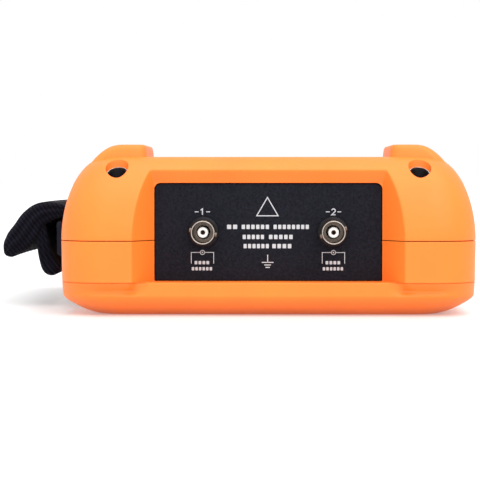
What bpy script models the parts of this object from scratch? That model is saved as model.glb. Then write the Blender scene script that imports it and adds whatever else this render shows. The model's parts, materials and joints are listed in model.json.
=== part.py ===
"""Handheld two-channel oscilloscope, lying on its screen side with its input end towards -Y.

The case is two moulded halves that meet at a seam. A dark input panel with two coaxial connectors
sits in a pocket between two corner lobes. The screen and the keys look down, the kickstand and the
battery cover look up, and a padded hand strap hangs from two bars on the -X side.
Every piece is a separate closed solid. Sizes are in metres, and MM turns millimetres into metres.
"""

import math

import bmesh
import bpy
from mathutils import Matrix, Vector

MM = 0.001

# Case
BODY_WIDTH = 163.2 * MM
BODY_LENGTH = 259.5 * MM
BACK_HEIGHT = 62.0 * MM
SEAM_HEIGHT = 29.2 * MM
WALL = 2.8 * MM
GAP = 0.3 * MM  # between two pieces that rest on each other
CORNER_RADIUS = 18.0 * MM
CORNER_STEPS = 5
DOME_STEPS = 7
SIDE_DOME = 16.8 * MM  # how far the rounded back draws in at the sides
NOSE_DOME = 22.6 * MM  # the same at the input end
NOSE_FULLNESS = 0.9  # below 1, the input end starts to draw in earlier
TAIL_DOME = 18.0 * MM  # the same at the hand end

# Rim round the screen side
RIM_HEIGHT = 6.6 * MM
RIM_CHAMFER = 13.3 * MM
RIM_SETBACK = 2.8 * MM  # the rim stands back from the lobes at the input end
RIM_PROFILE = ((0.0, 1.0), (0.18, 0.72), (0.53, 0.38), (1.0, 0.05))
CREASE_HEIGHT = 7.6 * MM  # where the rim's chamfer ends
LEDGE_HEIGHT = 13.2 * MM  # the pocket's floor, and the lobes' lower edge
LIP_FLARE = 4.6 * MM  # how much wider the strip between the lobes is at the crease

# Pocket and input panel
POCKET_DEPTH = 13.6 * MM
POCKET_SLOPE = 0.586  # sideways per depth of the pocket's cheeks
BROW_HIGH = 57.2 * MM
BROW_OVERHANG = 2.6 * MM  # the brow above the panel leans out by this much
PANEL_WIDTH = 88.8 * MM
PANEL_LOW = 13.5 * MM
PANEL_HIGH = 51.4 * MM
PANEL_CORNER = 2.2 * MM
PANEL_LOW_CORNER = 0.4 * MM
PANEL_SETBACK = 0.7 * MM
PANEL_THICKNESS = WALL + GAP - PANEL_SETBACK  # its flange lies against the wall
FLANGE_THICKNESS = 1.5 * MM
FLANGE_MARGIN = 2.6 * MM

# Coaxial connectors
CONNECTOR_SPACING = 50.6 * MM
CONNECTOR_HEIGHT = 32.5 * MM
BARREL_RADIUS = 4.7 * MM
BARREL_REACH = 12.2 * MM  # in front of the panel
BARREL_BORE = 4.0 * MM
THREAD_RADIUS = 5.2 * MM
CONNECTOR_REAR = 14.0 * MM  # behind the panel's face
ROUND_STEPS = 20

# Screen side
FACE_WIDTH = 126.0 * MM
FACE_FRONT = 21.0 * MM
FACE_BACK = 238.4 * MM
FACE_CORNER = 8.0 * MM
PLATE_MARGIN = 2.7 * MM  # of the face plate behind the rim
PLATE_THICKNESS = 2.0 * MM
SCREEN_WIDTH = 118.0 * MM
SCREEN_HEIGHT = 88.0 * MM
SCREEN_FRONT = 27.0 * MM
LENS_MARGIN = 3.0 * MM
LENS_THICKNESS = 1.5 * MM
MODULE_THICKNESS = 7.0 * MM
BOARD_THICKNESS = 1.6 * MM
BOARD_HEIGHT = 15.0 * MM
BOARD_INSET = 11.6 * MM  # from each side of the case
BOARD_WIDTH = BODY_WIDTH - 2 * BOARD_INSET

# Keys
KEY_PROUD = 1.8 * MM
KEY_FLANGE = 1.0 * MM
KEY_FLANGE_THICKNESS = 0.8 * MM
KEY_TRAVEL = 0.8 * MM
KEY_CLEARANCE = 0.35 * MM
KEY_EDGE = 0.6 * MM
MAT_THICKNESS = 0.8 * MM

# Screws
SCREW_ACROSS = 118.4 * MM
SCREW_INSET = 12.9 * MM  # from each end of the case
SCREW_WELL = 4.45 * MM
SCREW_SEAT = 44.0 * MM
SCREW_HEAD = 3.3 * MM
SCREW_HEAD_HEIGHT = 2.6 * MM
SCREW_SHANK = 1.5 * MM
SCREW_TIP = 8.0 * MM
BOSS_RADIUS = 6.6 * MM
POST_RADIUS = 4.5 * MM

# Bumpers on the back
BUMPER_RISE = 4.9 * MM  # at the input end
FOOT_RISE = 2.0 * MM  # at the hand end
BUMPER_INNER = 46.6 * MM
BUMPER_OUTER = 67.6 * MM
BUMPER_START = 21.5 * MM
BUMPER_LENGTH = 50.0 * MM

# Kickstand
STAND_WIDTH = 64.8 * MM
STAND_START = 60.2 * MM
STAND_LENGTH = 78.2 * MM
STAND_THICKNESS = 3.4 * MM
STAND_DEPTH = 4.1 * MM
HINGE_RADIUS = 2.0 * MM
HINGE_PIN_RADIUS = 1.0 * MM
SCOOP_WIDTH = 22.0 * MM
SCOOP_LENGTH = 7.2 * MM
SCOOP_DEPTH = 5.8 * MM

# Battery
COVER_WIDTH = 85.0 * MM
COVER_START = 150.5 * MM
COVER_LENGTH = 86.0 * MM
COVER_THICKNESS = 2.4 * MM
COVER_SCREW_INSET = 3.9 * MM
BATTERY_WIDTH = 77.0 * MM
BATTERY_START = 158.5 * MM
BATTERY_LENGTH = 73.0 * MM
BATTERY_LOW = 36.4 * MM
TAB_WIDTH = 11.0 * MM
TAB_OFFSET = 24.0 * MM
TAB_REACH = 2.6 * MM
TAB_THICKNESS = 1.0 * MM

# Side ports
PORT_START = 92.0 * MM
PORT_LENGTH = 48.0 * MM
PORT_LOW = 12.0 * MM
PORT_HIGH = 27.4 * MM
PORT_DEPTH = 2.5 * MM
PORT_WALL = 6.0 * MM
USB_Y = 105.0 * MM
USB_WIDTH = 14.0 * MM
USB_HEIGHT = 7.0 * MM
POWER_Y = 127.0 * MM
POWER_SIZE = 11.0 * MM
POWER_BORE = 2.9 * MM
FLAP_THICKNESS = 1.9 * MM

# Meter sockets at the hand end
METER_WIDTH = 66.0 * MM
METER_LOW = 17.0 * MM
METER_HIGH = 41.4 * MM
METER_CORNER = 3.0 * MM
METER_SPACING = 19.0 * MM
METER_THICKNESS = 3.4 * MM
SOCKET_RADIUS = 6.0 * MM
SOCKET_BORE = 3.7 * MM
SOCKET_LENGTH = 21.0 * MM
SLEEVE_RADIUS = 2.6 * MM
SLEEVE_BORE = 2.0 * MM
SLEEVE_DEPTH = 9.0 * MM

# Hand strap
BAR_INSET = 3.4 * MM  # from the side of the case
BAR_X = BODY_WIDTH / 2 - BAR_INSET
BAR_RADIUS = 1.5 * MM
BAR_FRONT = 36.0 * MM
BAR_BACK = 221.0 * MM
RECESS_LOW = 21.0 * MM
RECESS_HIGH = 36.4 * MM
RECESS_LENGTH = 28.0 * MM
RECESS_DEPTH = 7.2 * MM
BAR_GRIP = 2.9 * MM  # how far each end of a bar goes into the case
WEBBING_WIDTH = 14.0 * MM
WEBBING_THICKNESS = 2.4 * MM
WEBBING_BULGE = 11.5 * MM
WEBBING_FULLNESS = 0.35  # the smaller, the sooner the webbing swings out from its bars
EYE_THICKNESS = 1.5 * MM
PAD_FRONT = 60.0 * MM
PAD_BACK = 197.0 * MM
PAD_BOW = 1.8 * MM  # at mid length, beyond the ends

# Pad's section at its ends: out from the case's side, and up from the table.
PAD_SECTION = (
    (3.0, 42.8), (7.6, 43.5), (10.6, 43.9), (13.1, 43.5), (15.6, 42.6), (18.2, 41.4),
    (20.7, 39.4), (22.5, 37.6), (25.7, 31.5), (27.8, 28.2), (28.7, 26.0), (28.5, 23.9),
    (27.2, 22.2), (25.5, 21.4), (23.2, 21.8), (20.2, 23.0), (17.9, 24.2), (15.5, 21.2),
    (13.9, 18.4), (12.8, 15.8), (11.3, 13.9), (8.8, 12.9), (6.8, 13.2), (5.2, 14.6),
    (5.3, 16.6), (8.2, 19.6), (10.0, 23.0), (11.4, 30.0), (11.4, 34.6), (9.4, 37.2),
    (3.6, 37.6),
)

COLOURS = {
    "case": ((0.93, 0.32, 0.055), 0.5, 0.0),
    "dark": ((0.022, 0.023, 0.028), 0.55, 0.0),
    "metal": ((0.55, 0.53, 0.5), 0.3, 1.0),
    "white": ((0.85, 0.84, 0.8), 0.5, 0.0),
    "brass": ((0.6, 0.42, 0.16), 0.3, 1.0),
    "board": ((0.02, 0.12, 0.05), 0.5, 0.0),
    "glass": ((0.01, 0.012, 0.015), 0.08, 0.0),
    "strap": ((0.008, 0.008, 0.01), 0.9, 0.0),
    "key": ((0.05, 0.052, 0.06), 0.6, 0.0),
    "socket": ((0.45, 0.02, 0.015), 0.45, 0.0),
}

HALF_WIDTH = BODY_WIDTH / 2
STRAP_REACH = max(out for out, _ in PAD_SECTION) * MM + PAD_BOW
FRAME_SHIFT = Vector((STRAP_REACH / 2, -BODY_LENGTH / 2, 0.0))
PANEL_FACE = POCKET_DEPTH + PANEL_SETBACK
PANEL_BACK = PANEL_FACE + PANEL_THICKNESS + FLANGE_THICKNESS
FACE_HEIGHT = WALL + GAP
LENS_HEIGHT = FACE_HEIGHT + PLATE_THICKNESS + GAP
SCREEN_BACK = SCREEN_FRONT + SCREEN_HEIGHT + 2 * LENS_MARGIN
STRAP_HEIGHT = (RECESS_LOW + RECESS_HIGH) / 2


# ---------------------------------------------------------------- scene and materials


def clear_scene():
    for obj in list(bpy.data.objects):
        bpy.data.objects.remove(obj, do_unlink=True)


def make_frame():
    """The empty that carries every piece: the case's own frame, moved to the footprint's middle."""
    empty = bpy.data.objects.new("instrument", None)
    bpy.context.scene.collection.objects.link(empty)
    empty.location = FRAME_SHIFT
    return empty


def make_materials():
    made = {}
    for name, (colour, roughness, metallic) in COLOURS.items():
        material = bpy.data.materials.new(name)
        material.use_nodes = True
        shader = material.node_tree.nodes["Principled BSDF"]
        shader.inputs["Base Color"].default_value = (*colour, 1.0)
        shader.inputs["Roughness"].default_value = roughness
        shader.inputs["Metallic"].default_value = metallic
        made[name] = material
    return made


clear_scene()
INSTRUMENT = make_frame()
MATERIALS = make_materials()


def place(name, mesh_data, material=None, origin=(0.0, 0.0, 0.0)):
    """Turns a bmesh into an object whose own origin is at origin, in the case's frame."""
    bmesh.ops.recalc_face_normals(mesh_data, faces=mesh_data.faces)
    mesh_data.transform(Matrix.Translation(-Vector(origin)))
    mesh = bpy.data.meshes.new(name)
    mesh_data.to_mesh(mesh)
    mesh_data.free()
    mesh.shade_smooth()
    mesh.set_sharp_from_angle(angle=math.radians(32))
    obj = bpy.data.objects.new(name, mesh)
    bpy.context.scene.collection.objects.link(obj)
    obj.parent = INSTRUMENT
    obj.location = origin
    if material:
        mesh.materials.append(MATERIALS[material])
    return obj


def place_cutter(name, mesh_data):
    obj = place(name, mesh_data)
    obj.hide_render = True
    obj.display_type = "WIRE"
    return obj


def combine(obj, other, operation="DIFFERENCE"):
    modifier = obj.modifiers.new(other.name, "BOOLEAN")
    modifier.operation = operation
    modifier.object = other
    other.hide_render = True
    other.display_type = "WIRE"


# ---------------------------------------------------------------- shapes


def rounded_rectangle(low_x, high_x, low_y, high_y, radius, steps=CORNER_STEPS, low_radius=None):
    """Counter-clockwise outline with round corners. The two low corners may have a radius of their own."""
    high = min(radius, 0.49 * (high_x - low_x), 0.49 * (high_y - low_y))
    low = high if low_radius is None else low_radius
    centres = (
        (high_x - high, high_y - high, high),
        (low_x + high, high_y - high, high),
        (low_x + low, low_y + low, low),
        (high_x - low, low_y + low, low),
    )
    outline = []
    for corner, (x, y, radius) in enumerate(centres):
        for step in range(steps + 1):
            angle = math.pi / 2 * (corner + step / steps)
            outline.append((x + radius * math.cos(angle), y + radius * math.sin(angle)))
    return outline


def circle(x, y, radius, steps=ROUND_STEPS):
    turns = [2 * math.pi * (step + 0.5) / steps for step in range(steps)]
    return [(x + radius * math.cos(turn), y + radius * math.sin(turn)) for turn in turns]


def add_rings(mesh_data, rings):
    """Skins a row of rings of equal count and caps both ends."""
    made = [[mesh_data.verts.new(point) for point in ring] for ring in rings]
    count = len(made[0])
    for low, high in zip(made, made[1:]):
        for i in range(count):
            j = (i + 1) % count
            mesh_data.faces.new((low[i], low[j], high[j], high[i]))
    mesh_data.faces.new(made[0])
    mesh_data.faces.new(made[-1])


def on_axis(axis, outline, distance):
    """Points of a flat outline at a distance along an axis."""
    if axis == "X":
        return [(distance, u, v) for u, v in outline]
    if axis == "Y":
        return [(u, distance, v) for u, v in outline]
    return [(u, v, distance) for u, v in outline]


def add_prism(mesh_data, axis, outline, start, end):
    add_rings(mesh_data, [on_axis(axis, outline, d) for d in (start, end)])


def add_steps(mesh_data, axis, steps):
    """A stack of (outline, distance) rings."""
    add_rings(mesh_data, [on_axis(axis, outline, d) for outline, d in steps])


def add_box(mesh_data, low, high):
    outline = [(low[0], low[1]), (high[0], low[1]), (high[0], high[1]), (low[0], high[1])]
    add_prism(mesh_data, "Z", outline, low[2], high[2])


def add_turned(mesh_data, centre, profile, steps=ROUND_STEPS):
    """Turns a closed (radius, y) profile round the line along Y through centre = (x, z)."""
    rings = []
    for radius, y in profile:
        if radius == 0:
            rings.append([mesh_data.verts.new((centre[0], y, centre[1]))])
            continue
        outline = circle(centre[0], centre[1], radius, steps)
        rings.append([mesh_data.verts.new(point) for point in on_axis("Y", outline, y)])
    for first, second in zip(rings, rings[1:] + rings[:1]):
        if len(first) == len(second) == 1:
            continue
        for i in range(steps):
            j = (i + 1) % steps
            corners = [first[i % len(first)], first[j % len(first)]]
            corners += [second[j % len(second)], second[i % len(second)]]
            mesh_data.faces.new(list(dict.fromkeys(corners)))


def box_cutter(name, low, high):
    mesh_data = bmesh.new()
    add_box(mesh_data, low, high)
    return place_cutter(name, mesh_data)


def rings_cutter(name, rings):
    mesh_data = bmesh.new()
    add_rings(mesh_data, rings)
    return place_cutter(name, mesh_data)


def prism_cutter(name, axis, outline, start, end):
    mesh_data = bmesh.new()
    add_prism(mesh_data, axis, outline, start, end)
    return place_cutter(name, mesh_data)


def boxes_cutter(name, boxes):
    mesh_data = bmesh.new()
    for low, high in boxes:
        add_box(mesh_data, low, high)
    return place_cutter(name, mesh_data)


def cylinders_cutter(name, axis, centres, radius, start, end, steps=16):
    mesh_data = bmesh.new()
    for u, v in centres:
        add_prism(mesh_data, axis, circle(u, v, radius, steps), start, end)
    return place_cutter(name, mesh_data)


# ---------------------------------------------------------------- the case's outline


def rim_points(setback, end):
    """(height, inset) of the lower half's outside, from the table up to the seam."""
    points = []
    for height_share, width_share in RIM_PROFILE:
        points.append((RIM_HEIGHT * height_share, setback + RIM_CHAMFER * width_share))
    points += [(CREASE_HEIGHT, setback), (LEDGE_HEIGHT, end), (SEAM_HEIGHT, 0.0)]
    return points


SIDE = (rim_points(0.4 * MM, 0.3 * MM), SIDE_DOME, 1.0)
NOSE = (rim_points(RIM_SETBACK, 0.0), NOSE_DOME, NOSE_FULLNESS)
TAIL = (rim_points(0.4 * MM, 0.3 * MM), TAIL_DOME, 1.0)


def inset_at(curve, height):
    """How far the case's outside draws in at a height."""
    points, dome, fullness = curve
    if height >= SEAM_HEIGHT:
        rise = min(1.0, (height - SEAM_HEIGHT) / (BACK_HEIGHT - SEAM_HEIGHT))
        return dome * (1 - math.sqrt(1 - rise * rise)) ** fullness
    for (low, first), (high, second) in zip(points, points[1:]):
        if height <= high:
            return first + (second - first) * (height - low) / (high - low)
    return 0.0


def inner_inset_at(curve, height, wall=WALL, samples=24):
    """The same for a surface one wall inside the outside."""
    found = 0.0
    for i in range(samples + 1):
        offset = wall * (2 * i / samples - 1)
        other = min(max(height + offset, 0.0), BACK_HEIGHT)
        reach = max(0.0, wall * wall - (other - height) ** 2)
        found = max(found, inset_at(curve, other) + math.sqrt(reach))
    return found


def case_outline(height, inset=inset_at, shrink=0.0):
    side, nose, tail = (inset(curve, height) for curve in (SIDE, NOSE, TAIL))
    radius = max(4 * MM, CORNER_RADIUS - 0.45 * side - shrink)
    half = HALF_WIDTH - side
    return rounded_rectangle(-half, half, nose, BODY_LENGTH - tail, radius)


def case_half(name, heights, material):
    mesh_data = bmesh.new()
    rings = [on_axis("Z", case_outline(height), height) for height in heights]
    add_rings(mesh_data, rings)
    return place(name, mesh_data, material)


def case_cavity(name, heights, low, high):
    """Hollow of a case half, one wall inside. It runs past the seam, to low or to high."""
    mesh_data = bmesh.new()
    rings = []
    for height in heights:
        inside = min(max(height, low), high)
        outline = case_outline(inside, inner_inset_at, shrink=0.8 * WALL)
        rings.append(on_axis("Z", outline, height))
    add_rings(mesh_data, rings)
    return place_cutter(name, mesh_data)


# ---------------------------------------------------------------- shared cuts


def pocket_outline(margin, back=POCKET_DEPTH):
    """Plan of the pocket between the lobes, grown by margin. Back is how deep it goes."""
    half = PANEL_WIDTH / 2 + GAP + POCKET_SLOPE * (POCKET_DEPTH - back)
    half += margin * (math.hypot(1, POCKET_SLOPE) - POCKET_SLOPE)
    back += margin
    wide = half + POCKET_SLOPE * (back + 2 * MM)
    return [(-wide, -2 * MM), (wide, -2 * MM), (half, back), (-half, back)]


def pocket_rings(low, margin=0.0):
    """The pocket as a stack of plans, from a height up. Its back leans out above the panel."""
    brow = PANEL_HIGH + GAP
    lean = BROW_OVERHANG / (BROW_HIGH - brow)
    high = BACK_HEIGHT + 4 * MM
    levels = ((low, POCKET_DEPTH), (brow, POCKET_DEPTH), (high, POCKET_DEPTH - lean * (high - brow)))
    return [on_axis("Z", pocket_outline(margin, back), height) for height, back in levels]


def lip_rings():
    """The strip in front of the rim that the lobes leave free, wider at the crease."""
    rings = []
    for height, flare in ((CREASE_HEIGHT + 0.05 * MM, LIP_FLARE), (LEDGE_HEIGHT, 0.0)):
        outline = pocket_outline(0.0, RIM_SETBACK)
        wider = [(x + math.copysign(flare - 1 * MM, x), y) for x, y in outline]
        rings.append(on_axis("Z", wider, height))
    return rings


def screw_centres():
    x, low, high = SCREW_ACROSS / 2, SCREW_INSET, BODY_LENGTH - SCREW_INSET
    return [(-x, low), (x, low), (-x, high), (x, high)]


def strap_recesses(margin):
    """The four recesses in the sides, which hold the strap bars. Margin grows them by a wall."""
    boxes = []
    grip = BAR_GRIP + 1.2 * MM if margin else 0.0
    spans = (
        (BAR_FRONT - RECESS_LENGTH * 0.29, BAR_FRONT + RECESS_LENGTH * 0.71),
        (BAR_BACK - RECESS_LENGTH * 0.71, BAR_BACK + RECESS_LENGTH * 0.29),
    )
    inner = HALF_WIDTH - RECESS_DEPTH - margin
    for start, end in spans:
        for near, far in ((inner, HALF_WIDTH + 5 * MM), (-HALF_WIDTH - 5 * MM, -inner)):
            low = (near, start - margin, RECESS_LOW - grip)
            high = (far, end + margin, RECESS_HIGH + grip)
            boxes.append((low, high))
    return boxes


def bar_centres():
    return [(x, y) for x in (-BAR_X, BAR_X) for y in (BAR_FRONT, BAR_BACK)]


def port_box(margin):
    inner = HALF_WIDTH - PORT_DEPTH - (PORT_WALL - PORT_DEPTH if margin else 0.0)
    low = (inner, PORT_START - margin, PORT_LOW - margin)
    high = (HALF_WIDTH + 5 * MM, PORT_START + PORT_LENGTH + margin, PORT_HIGH + margin)
    return low, high


def cut_panel_windows(case):
    """Windows for the input panel and the meter panel, cut in both halves."""
    half = PANEL_WIDTH / 2 + GAP
    low, high = PANEL_LOW - GAP, PANEL_HIGH + GAP
    outline = rounded_rectangle(-half, half, low, high, PANEL_CORNER + GAP, 3, PANEL_LOW_CORNER)
    combine(case, prism_cutter(
        f"{case.name}_input_window", "Y", outline, POCKET_DEPTH - 1 * MM, POCKET_DEPTH + WALL + 1 * MM
    ))
    half = METER_WIDTH / 2
    outline = rounded_rectangle(-half, half, METER_LOW, METER_HIGH, METER_CORNER, 3)
    combine(case, prism_cutter(
        f"{case.name}_meter_window", "Y", outline, BODY_LENGTH - 9 * MM, BODY_LENGTH + 2 * MM
    ))


def cut_strap_recesses(case):
    combine(case, boxes_cutter(f"{case.name}_strap_recess", strap_recesses(0.0)))
    start, end = RECESS_LOW - BAR_GRIP - GAP, RECESS_HIGH + BAR_GRIP + GAP
    name = f"{case.name}_bar_hole"
    combine(case, cylinders_cutter(name, "Z", bar_centres(), BAR_RADIUS + GAP, start, end, 12))


# ---------------------------------------------------------------- front housing


def build_front_housing():
    """Lower half as it lies: the rim round the screen side, up to the seam."""
    top = SEAM_HEIGHT - GAP / 2
    rim = [height for height, _ in rim_points(0.0, 0.0)[:-1]]
    case = case_half("front_housing", rim + [top], "case")

    heights = (WALL, 4.6 * MM, 7.5 * MM, 11.5 * MM, 16.5 * MM, SEAM_HEIGHT + 2 * MM)
    cavity = case_cavity("front_cavity", heights, WALL, top)
    kept = bmesh.new()
    for x, y in screw_centres():
        add_prism(kept, "Z", circle(x, y, POST_RADIUS, 16), 0.0, SEAM_HEIGHT + 5 * MM)
    for low, high in strap_recesses(WALL) + [port_box(WALL)]:
        add_box(kept, low, high)
    add_prism(kept, "Z", pocket_outline(WALL), LEDGE_HEIGHT - WALL, SEAM_HEIGHT + 5 * MM)
    combine(cavity, place_cutter("front_kept_walls", kept))
    combine(case, cavity)

    combine(case, rings_cutter("front_pocket", pocket_rings(LEDGE_HEIGHT - 0.05 * MM)))
    combine(case, rings_cutter("front_lip", lip_rings()))

    half = FACE_WIDTH / 2
    opening = rounded_rectangle(-half, half, FACE_FRONT, FACE_BACK, FACE_CORNER)
    combine(case, prism_cutter("face_opening", "Z", opening, -1 * MM, WALL + 0.5 * MM))

    cut_panel_windows(case)
    cut_strap_recesses(case)
    pilot = SCREW_SHANK + GAP
    start = SCREW_TIP - GAP
    combine(case, cylinders_cutter(
        "front_pilot_holes", "Z", screw_centres(), pilot, start, SEAM_HEIGHT + 1 * MM, 12
    ))

    combine(case, boxes_cutter("port_recess", [port_box(0.0)]))
    inner, outer = HALF_WIDTH - PORT_WALL - 2 * MM, HALF_WIDTH
    middle = BOARD_HEIGHT + BOARD_THICKNESS + GAP + USB_HEIGHT / 2
    half_y, half_z = USB_WIDTH / 2 + GAP, USB_HEIGHT / 2 + GAP
    slot = boxes_cutter("usb_slot", [
        ((inner, USB_Y - half_y, middle - half_z), (outer, USB_Y + half_y, middle + half_z))
    ])
    combine(case, slot)
    hole = cylinders_cutter(
        "power_hole", "X", [(POWER_Y, power_height())], POWER_BORE + 1.5 * MM, inner, outer
    )
    combine(case, hole)
    return case


def power_height():
    return BOARD_HEIGHT + BOARD_THICKNESS + GAP + POWER_SIZE / 2 - 1.5 * MM


# ---------------------------------------------------------------- rear housing


def bumper_rings(side, start, rise):
    """Raised corner pad. Side is -1 or 1, and start is its end towards -Y."""
    base = BACK_HEIGHT + 0.18 * rise
    top = BACK_HEIGHT + rise
    levels = (
        (BACK_HEIGHT - 2.6 * MM, -0.6 * MM, 3.2 * MM, -0.6 * MM),
        (base, 0.0, 0.0, 0.0),
        (top - 0.31 * rise, 0.7 * MM, -3.3 * MM, 0.6 * MM),
        (top - 0.08 * rise, 1.6 * MM, -5.8 * MM, 1.3 * MM),
        (top, 2.7 * MM, -7.8 * MM, 2.3 * MM),
    )
    rings = []
    for height, inner, outer, end in levels:
        near, far = BUMPER_INNER + inner, BUMPER_OUTER + outer
        low, high = (near, far) if side > 0 else (-far, -near)
        outline = rounded_rectangle(low, high, start + end, start + BUMPER_LENGTH - end, 4 * MM, 3)
        rings.append(on_axis("Z", outline, height))
    return rings


def bumpers():
    """(end, start, rise) of the pads at the two ends of the back."""
    far = BODY_LENGTH - BUMPER_START - BUMPER_LENGTH
    return ("input", BUMPER_START, BUMPER_RISE), ("hand", far, FOOT_RISE)


def stand_seat(margin):
    half = STAND_WIDTH / 2 + 2 * GAP + margin
    low = (-half, STAND_START - margin, BACK_HEIGHT - STAND_DEPTH - margin)
    high = (half, STAND_START + STAND_LENGTH + 2 * GAP + margin, BACK_HEIGHT + 10 * MM)
    return low, high


def stand_scoop(margin):
    start = STAND_START + STAND_LENGTH - 1 * MM
    half = SCOOP_WIDTH / 2 + margin
    low = (-half, start - margin, BACK_HEIGHT - SCOOP_DEPTH - margin)
    return low, (half, start + 1 * MM + SCOOP_LENGTH + margin, BACK_HEIGHT + 11 * MM)


def cover_seat(margin, ends=0.0):
    half = COVER_WIDTH / 2 + GAP + margin
    low = (-half, COVER_START - GAP - margin, BACK_HEIGHT - COVER_THICKNESS - 2 * GAP - margin)
    high = (half, COVER_START + COVER_LENGTH + GAP + margin + ends, BACK_HEIGHT + 12 * MM)
    return low, high


def battery_bay(margin):
    half = BATTERY_WIDTH / 2 + GAP + margin
    low = (-half, BATTERY_START - 2 * GAP - margin, BATTERY_LOW - GAP - margin)
    high = (half, BATTERY_START + BATTERY_LENGTH + 2 * GAP + margin, BACK_HEIGHT + 13 * MM)
    return low, high


def hinge_centre():
    """(y, z) of the kickstand's hinge."""
    y = STAND_START + HINGE_RADIUS + 3 * GAP
    return y, BACK_HEIGHT - STAND_DEPTH + GAP + HINGE_RADIUS


def build_rear_housing():
    """Upper half as it lies: the rounded back with bumpers, kickstand seat and battery bay."""
    low = SEAM_HEIGHT + GAP / 2
    rise = BACK_HEIGHT - SEAM_HEIGHT
    turns = [math.pi / 2 * step / DOME_STEPS for step in range(1, DOME_STEPS + 1)]
    heights = [low] + [SEAM_HEIGHT + rise * math.sin(turn) for turn in turns]
    case = case_half("rear_housing", heights, "case")
    for end, start, rise in bumpers():
        for label, side in (("left", -1), ("right", 1)):
            pad = rings_cutter(f"bumper_{label}_{end}", bumper_rings(side, start, rise))
            combine(case, pad, "UNION")

    top = BACK_HEIGHT - WALL
    steps = [SEAM_HEIGHT + (top - SEAM_HEIGHT) * math.sin(turn) for turn in turns[1::2]]
    cavity = case_cavity("rear_cavity", [SEAM_HEIGHT - 2 * MM, low] + steps + [top], low, top)
    kept = bmesh.new()
    for x, y in screw_centres():
        add_prism(kept, "Z", circle(x, y, BOSS_RADIUS, 16), SEAM_HEIGHT - 5 * MM, BACK_HEIGHT)
    for box_low, box_high in strap_recesses(WALL):
        add_box(kept, box_low, box_high)
    add_rings(kept, pocket_rings(SEAM_HEIGHT - 5 * MM, WALL))
    combine(cavity, place_cutter("rear_kept_walls", kept))
    combine(cavity, box_cutter("stand_seat_wall", *stand_seat(WALL)))
    combine(cavity, box_cutter("stand_scoop_wall", *stand_scoop(WALL)))
    combine(cavity, box_cutter("cover_seat_wall", *cover_seat(WALL, TAB_REACH)))
    combine(cavity, box_cutter("battery_bay_wall", *battery_bay(WALL)))
    screw_y = COVER_START + COVER_SCREW_INSET
    combine(cavity, cylinders_cutter(
        "cover_screw_boss", "Z", [(0.0, screw_y)], 4 * MM, BACK_HEIGHT - 13 * MM, BACK_HEIGHT
    ))
    combine(case, cavity)

    combine(case, rings_cutter("rear_pocket", pocket_rings(SEAM_HEIGHT - 5 * MM)))
    cut_panel_windows(case)
    cut_strap_recesses(case)
    high = BACK_HEIGHT + 10 * MM
    combine(case, cylinders_cutter(
        "screw_wells", "Z", screw_centres(), SCREW_WELL, SCREW_SEAT, high, ROUND_STEPS
    ))
    combine(case, cylinders_cutter(
        "screw_clearance", "Z", screw_centres(), SCREW_SHANK + 2 * GAP, SEAM_HEIGHT - 1 * MM,
        SCREW_SEAT + 1 * MM, 12
    ))
    combine(case, box_cutter("stand_seat", *stand_seat(0.0)))
    combine(case, box_cutter("stand_scoop", *stand_scoop(0.0)))
    reach = STAND_WIDTH / 2 + 6 * MM
    combine(case, cylinders_cutter(
        "hinge_holes", "X", [hinge_centre()], HINGE_PIN_RADIUS + GAP, -reach, reach, 12
    ))
    combine(case, box_cutter("cover_seat", *cover_seat(0.0)))
    combine(case, box_cutter("battery_bay", *battery_bay(0.0)))
    combine(case, boxes_cutter("cover_tab_slots", cover_tabs(GAP)))
    combine(case, cylinders_cutter(
        "cover_screw_hole", "Z", [(0.0, screw_y)], SCREW_SHANK + GAP, BACK_HEIGHT - 12 * MM,
        BACK_HEIGHT, 12
    ))
    return case


def cover_tabs(margin):
    """Two tongues at the cover's far end, or their slots."""
    boxes = []
    bottom = BACK_HEIGHT - COVER_THICKNESS - GAP / 3 + 0.2 * MM
    start = COVER_START + COVER_LENGTH - 0.4 * MM
    for x in (-TAB_OFFSET, TAB_OFFSET):
        low = (x - TAB_WIDTH / 2 - margin, start, bottom - margin)
        high = (x + TAB_WIDTH / 2 + margin, start + 0.4 * MM + TAB_REACH + margin,
                bottom + TAB_THICKNESS + margin)
        boxes.append((low, high))
    return boxes


# ---------------------------------------------------------------- input panel and connectors


def connector_centres():
    return [(-CONNECTOR_SPACING / 2, CONNECTOR_HEIGHT), (CONNECTOR_SPACING / 2, CONNECTOR_HEIGHT)]


def flanged_panel(name, half, low, high, corners, face, depth, hole_centres, hole_radius):
    """Plate that fills a window, with a wider flange behind the wall, at a signed depth.
    Corners are the radii at the top and at the bottom."""
    mesh_data = bmesh.new()
    towards = math.copysign(1.0, depth)
    middle = face + depth
    rear = middle + towards * FLANGE_THICKNESS
    top, bottom = corners
    plate = rounded_rectangle(-half, half, low, high, top, 3, bottom)
    grow = FLANGE_MARGIN
    flange = rounded_rectangle(
        -half - grow, half + grow, low - grow, high + grow, top + grow, 3, bottom + grow
    )
    add_steps(mesh_data, "Y", [(plate, face), (plate, middle), (flange, middle), (flange, rear)])
    panel = place(name, mesh_data, "dark")
    start, end = sorted((face - towards * MM, rear + towards * MM))
    holes = cylinders_cutter(f"{name}_holes", "Y", hole_centres, hole_radius, start, end, ROUND_STEPS)
    combine(panel, holes)
    return panel


def build_input_panel():
    return flanged_panel(
        "input_panel", PANEL_WIDTH / 2, PANEL_LOW, PANEL_HIGH, (PANEL_CORNER, PANEL_LOW_CORNER),
        PANEL_FACE, PANEL_THICKNESS, connector_centres(), THREAD_RADIUS + GAP,
    )


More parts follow.
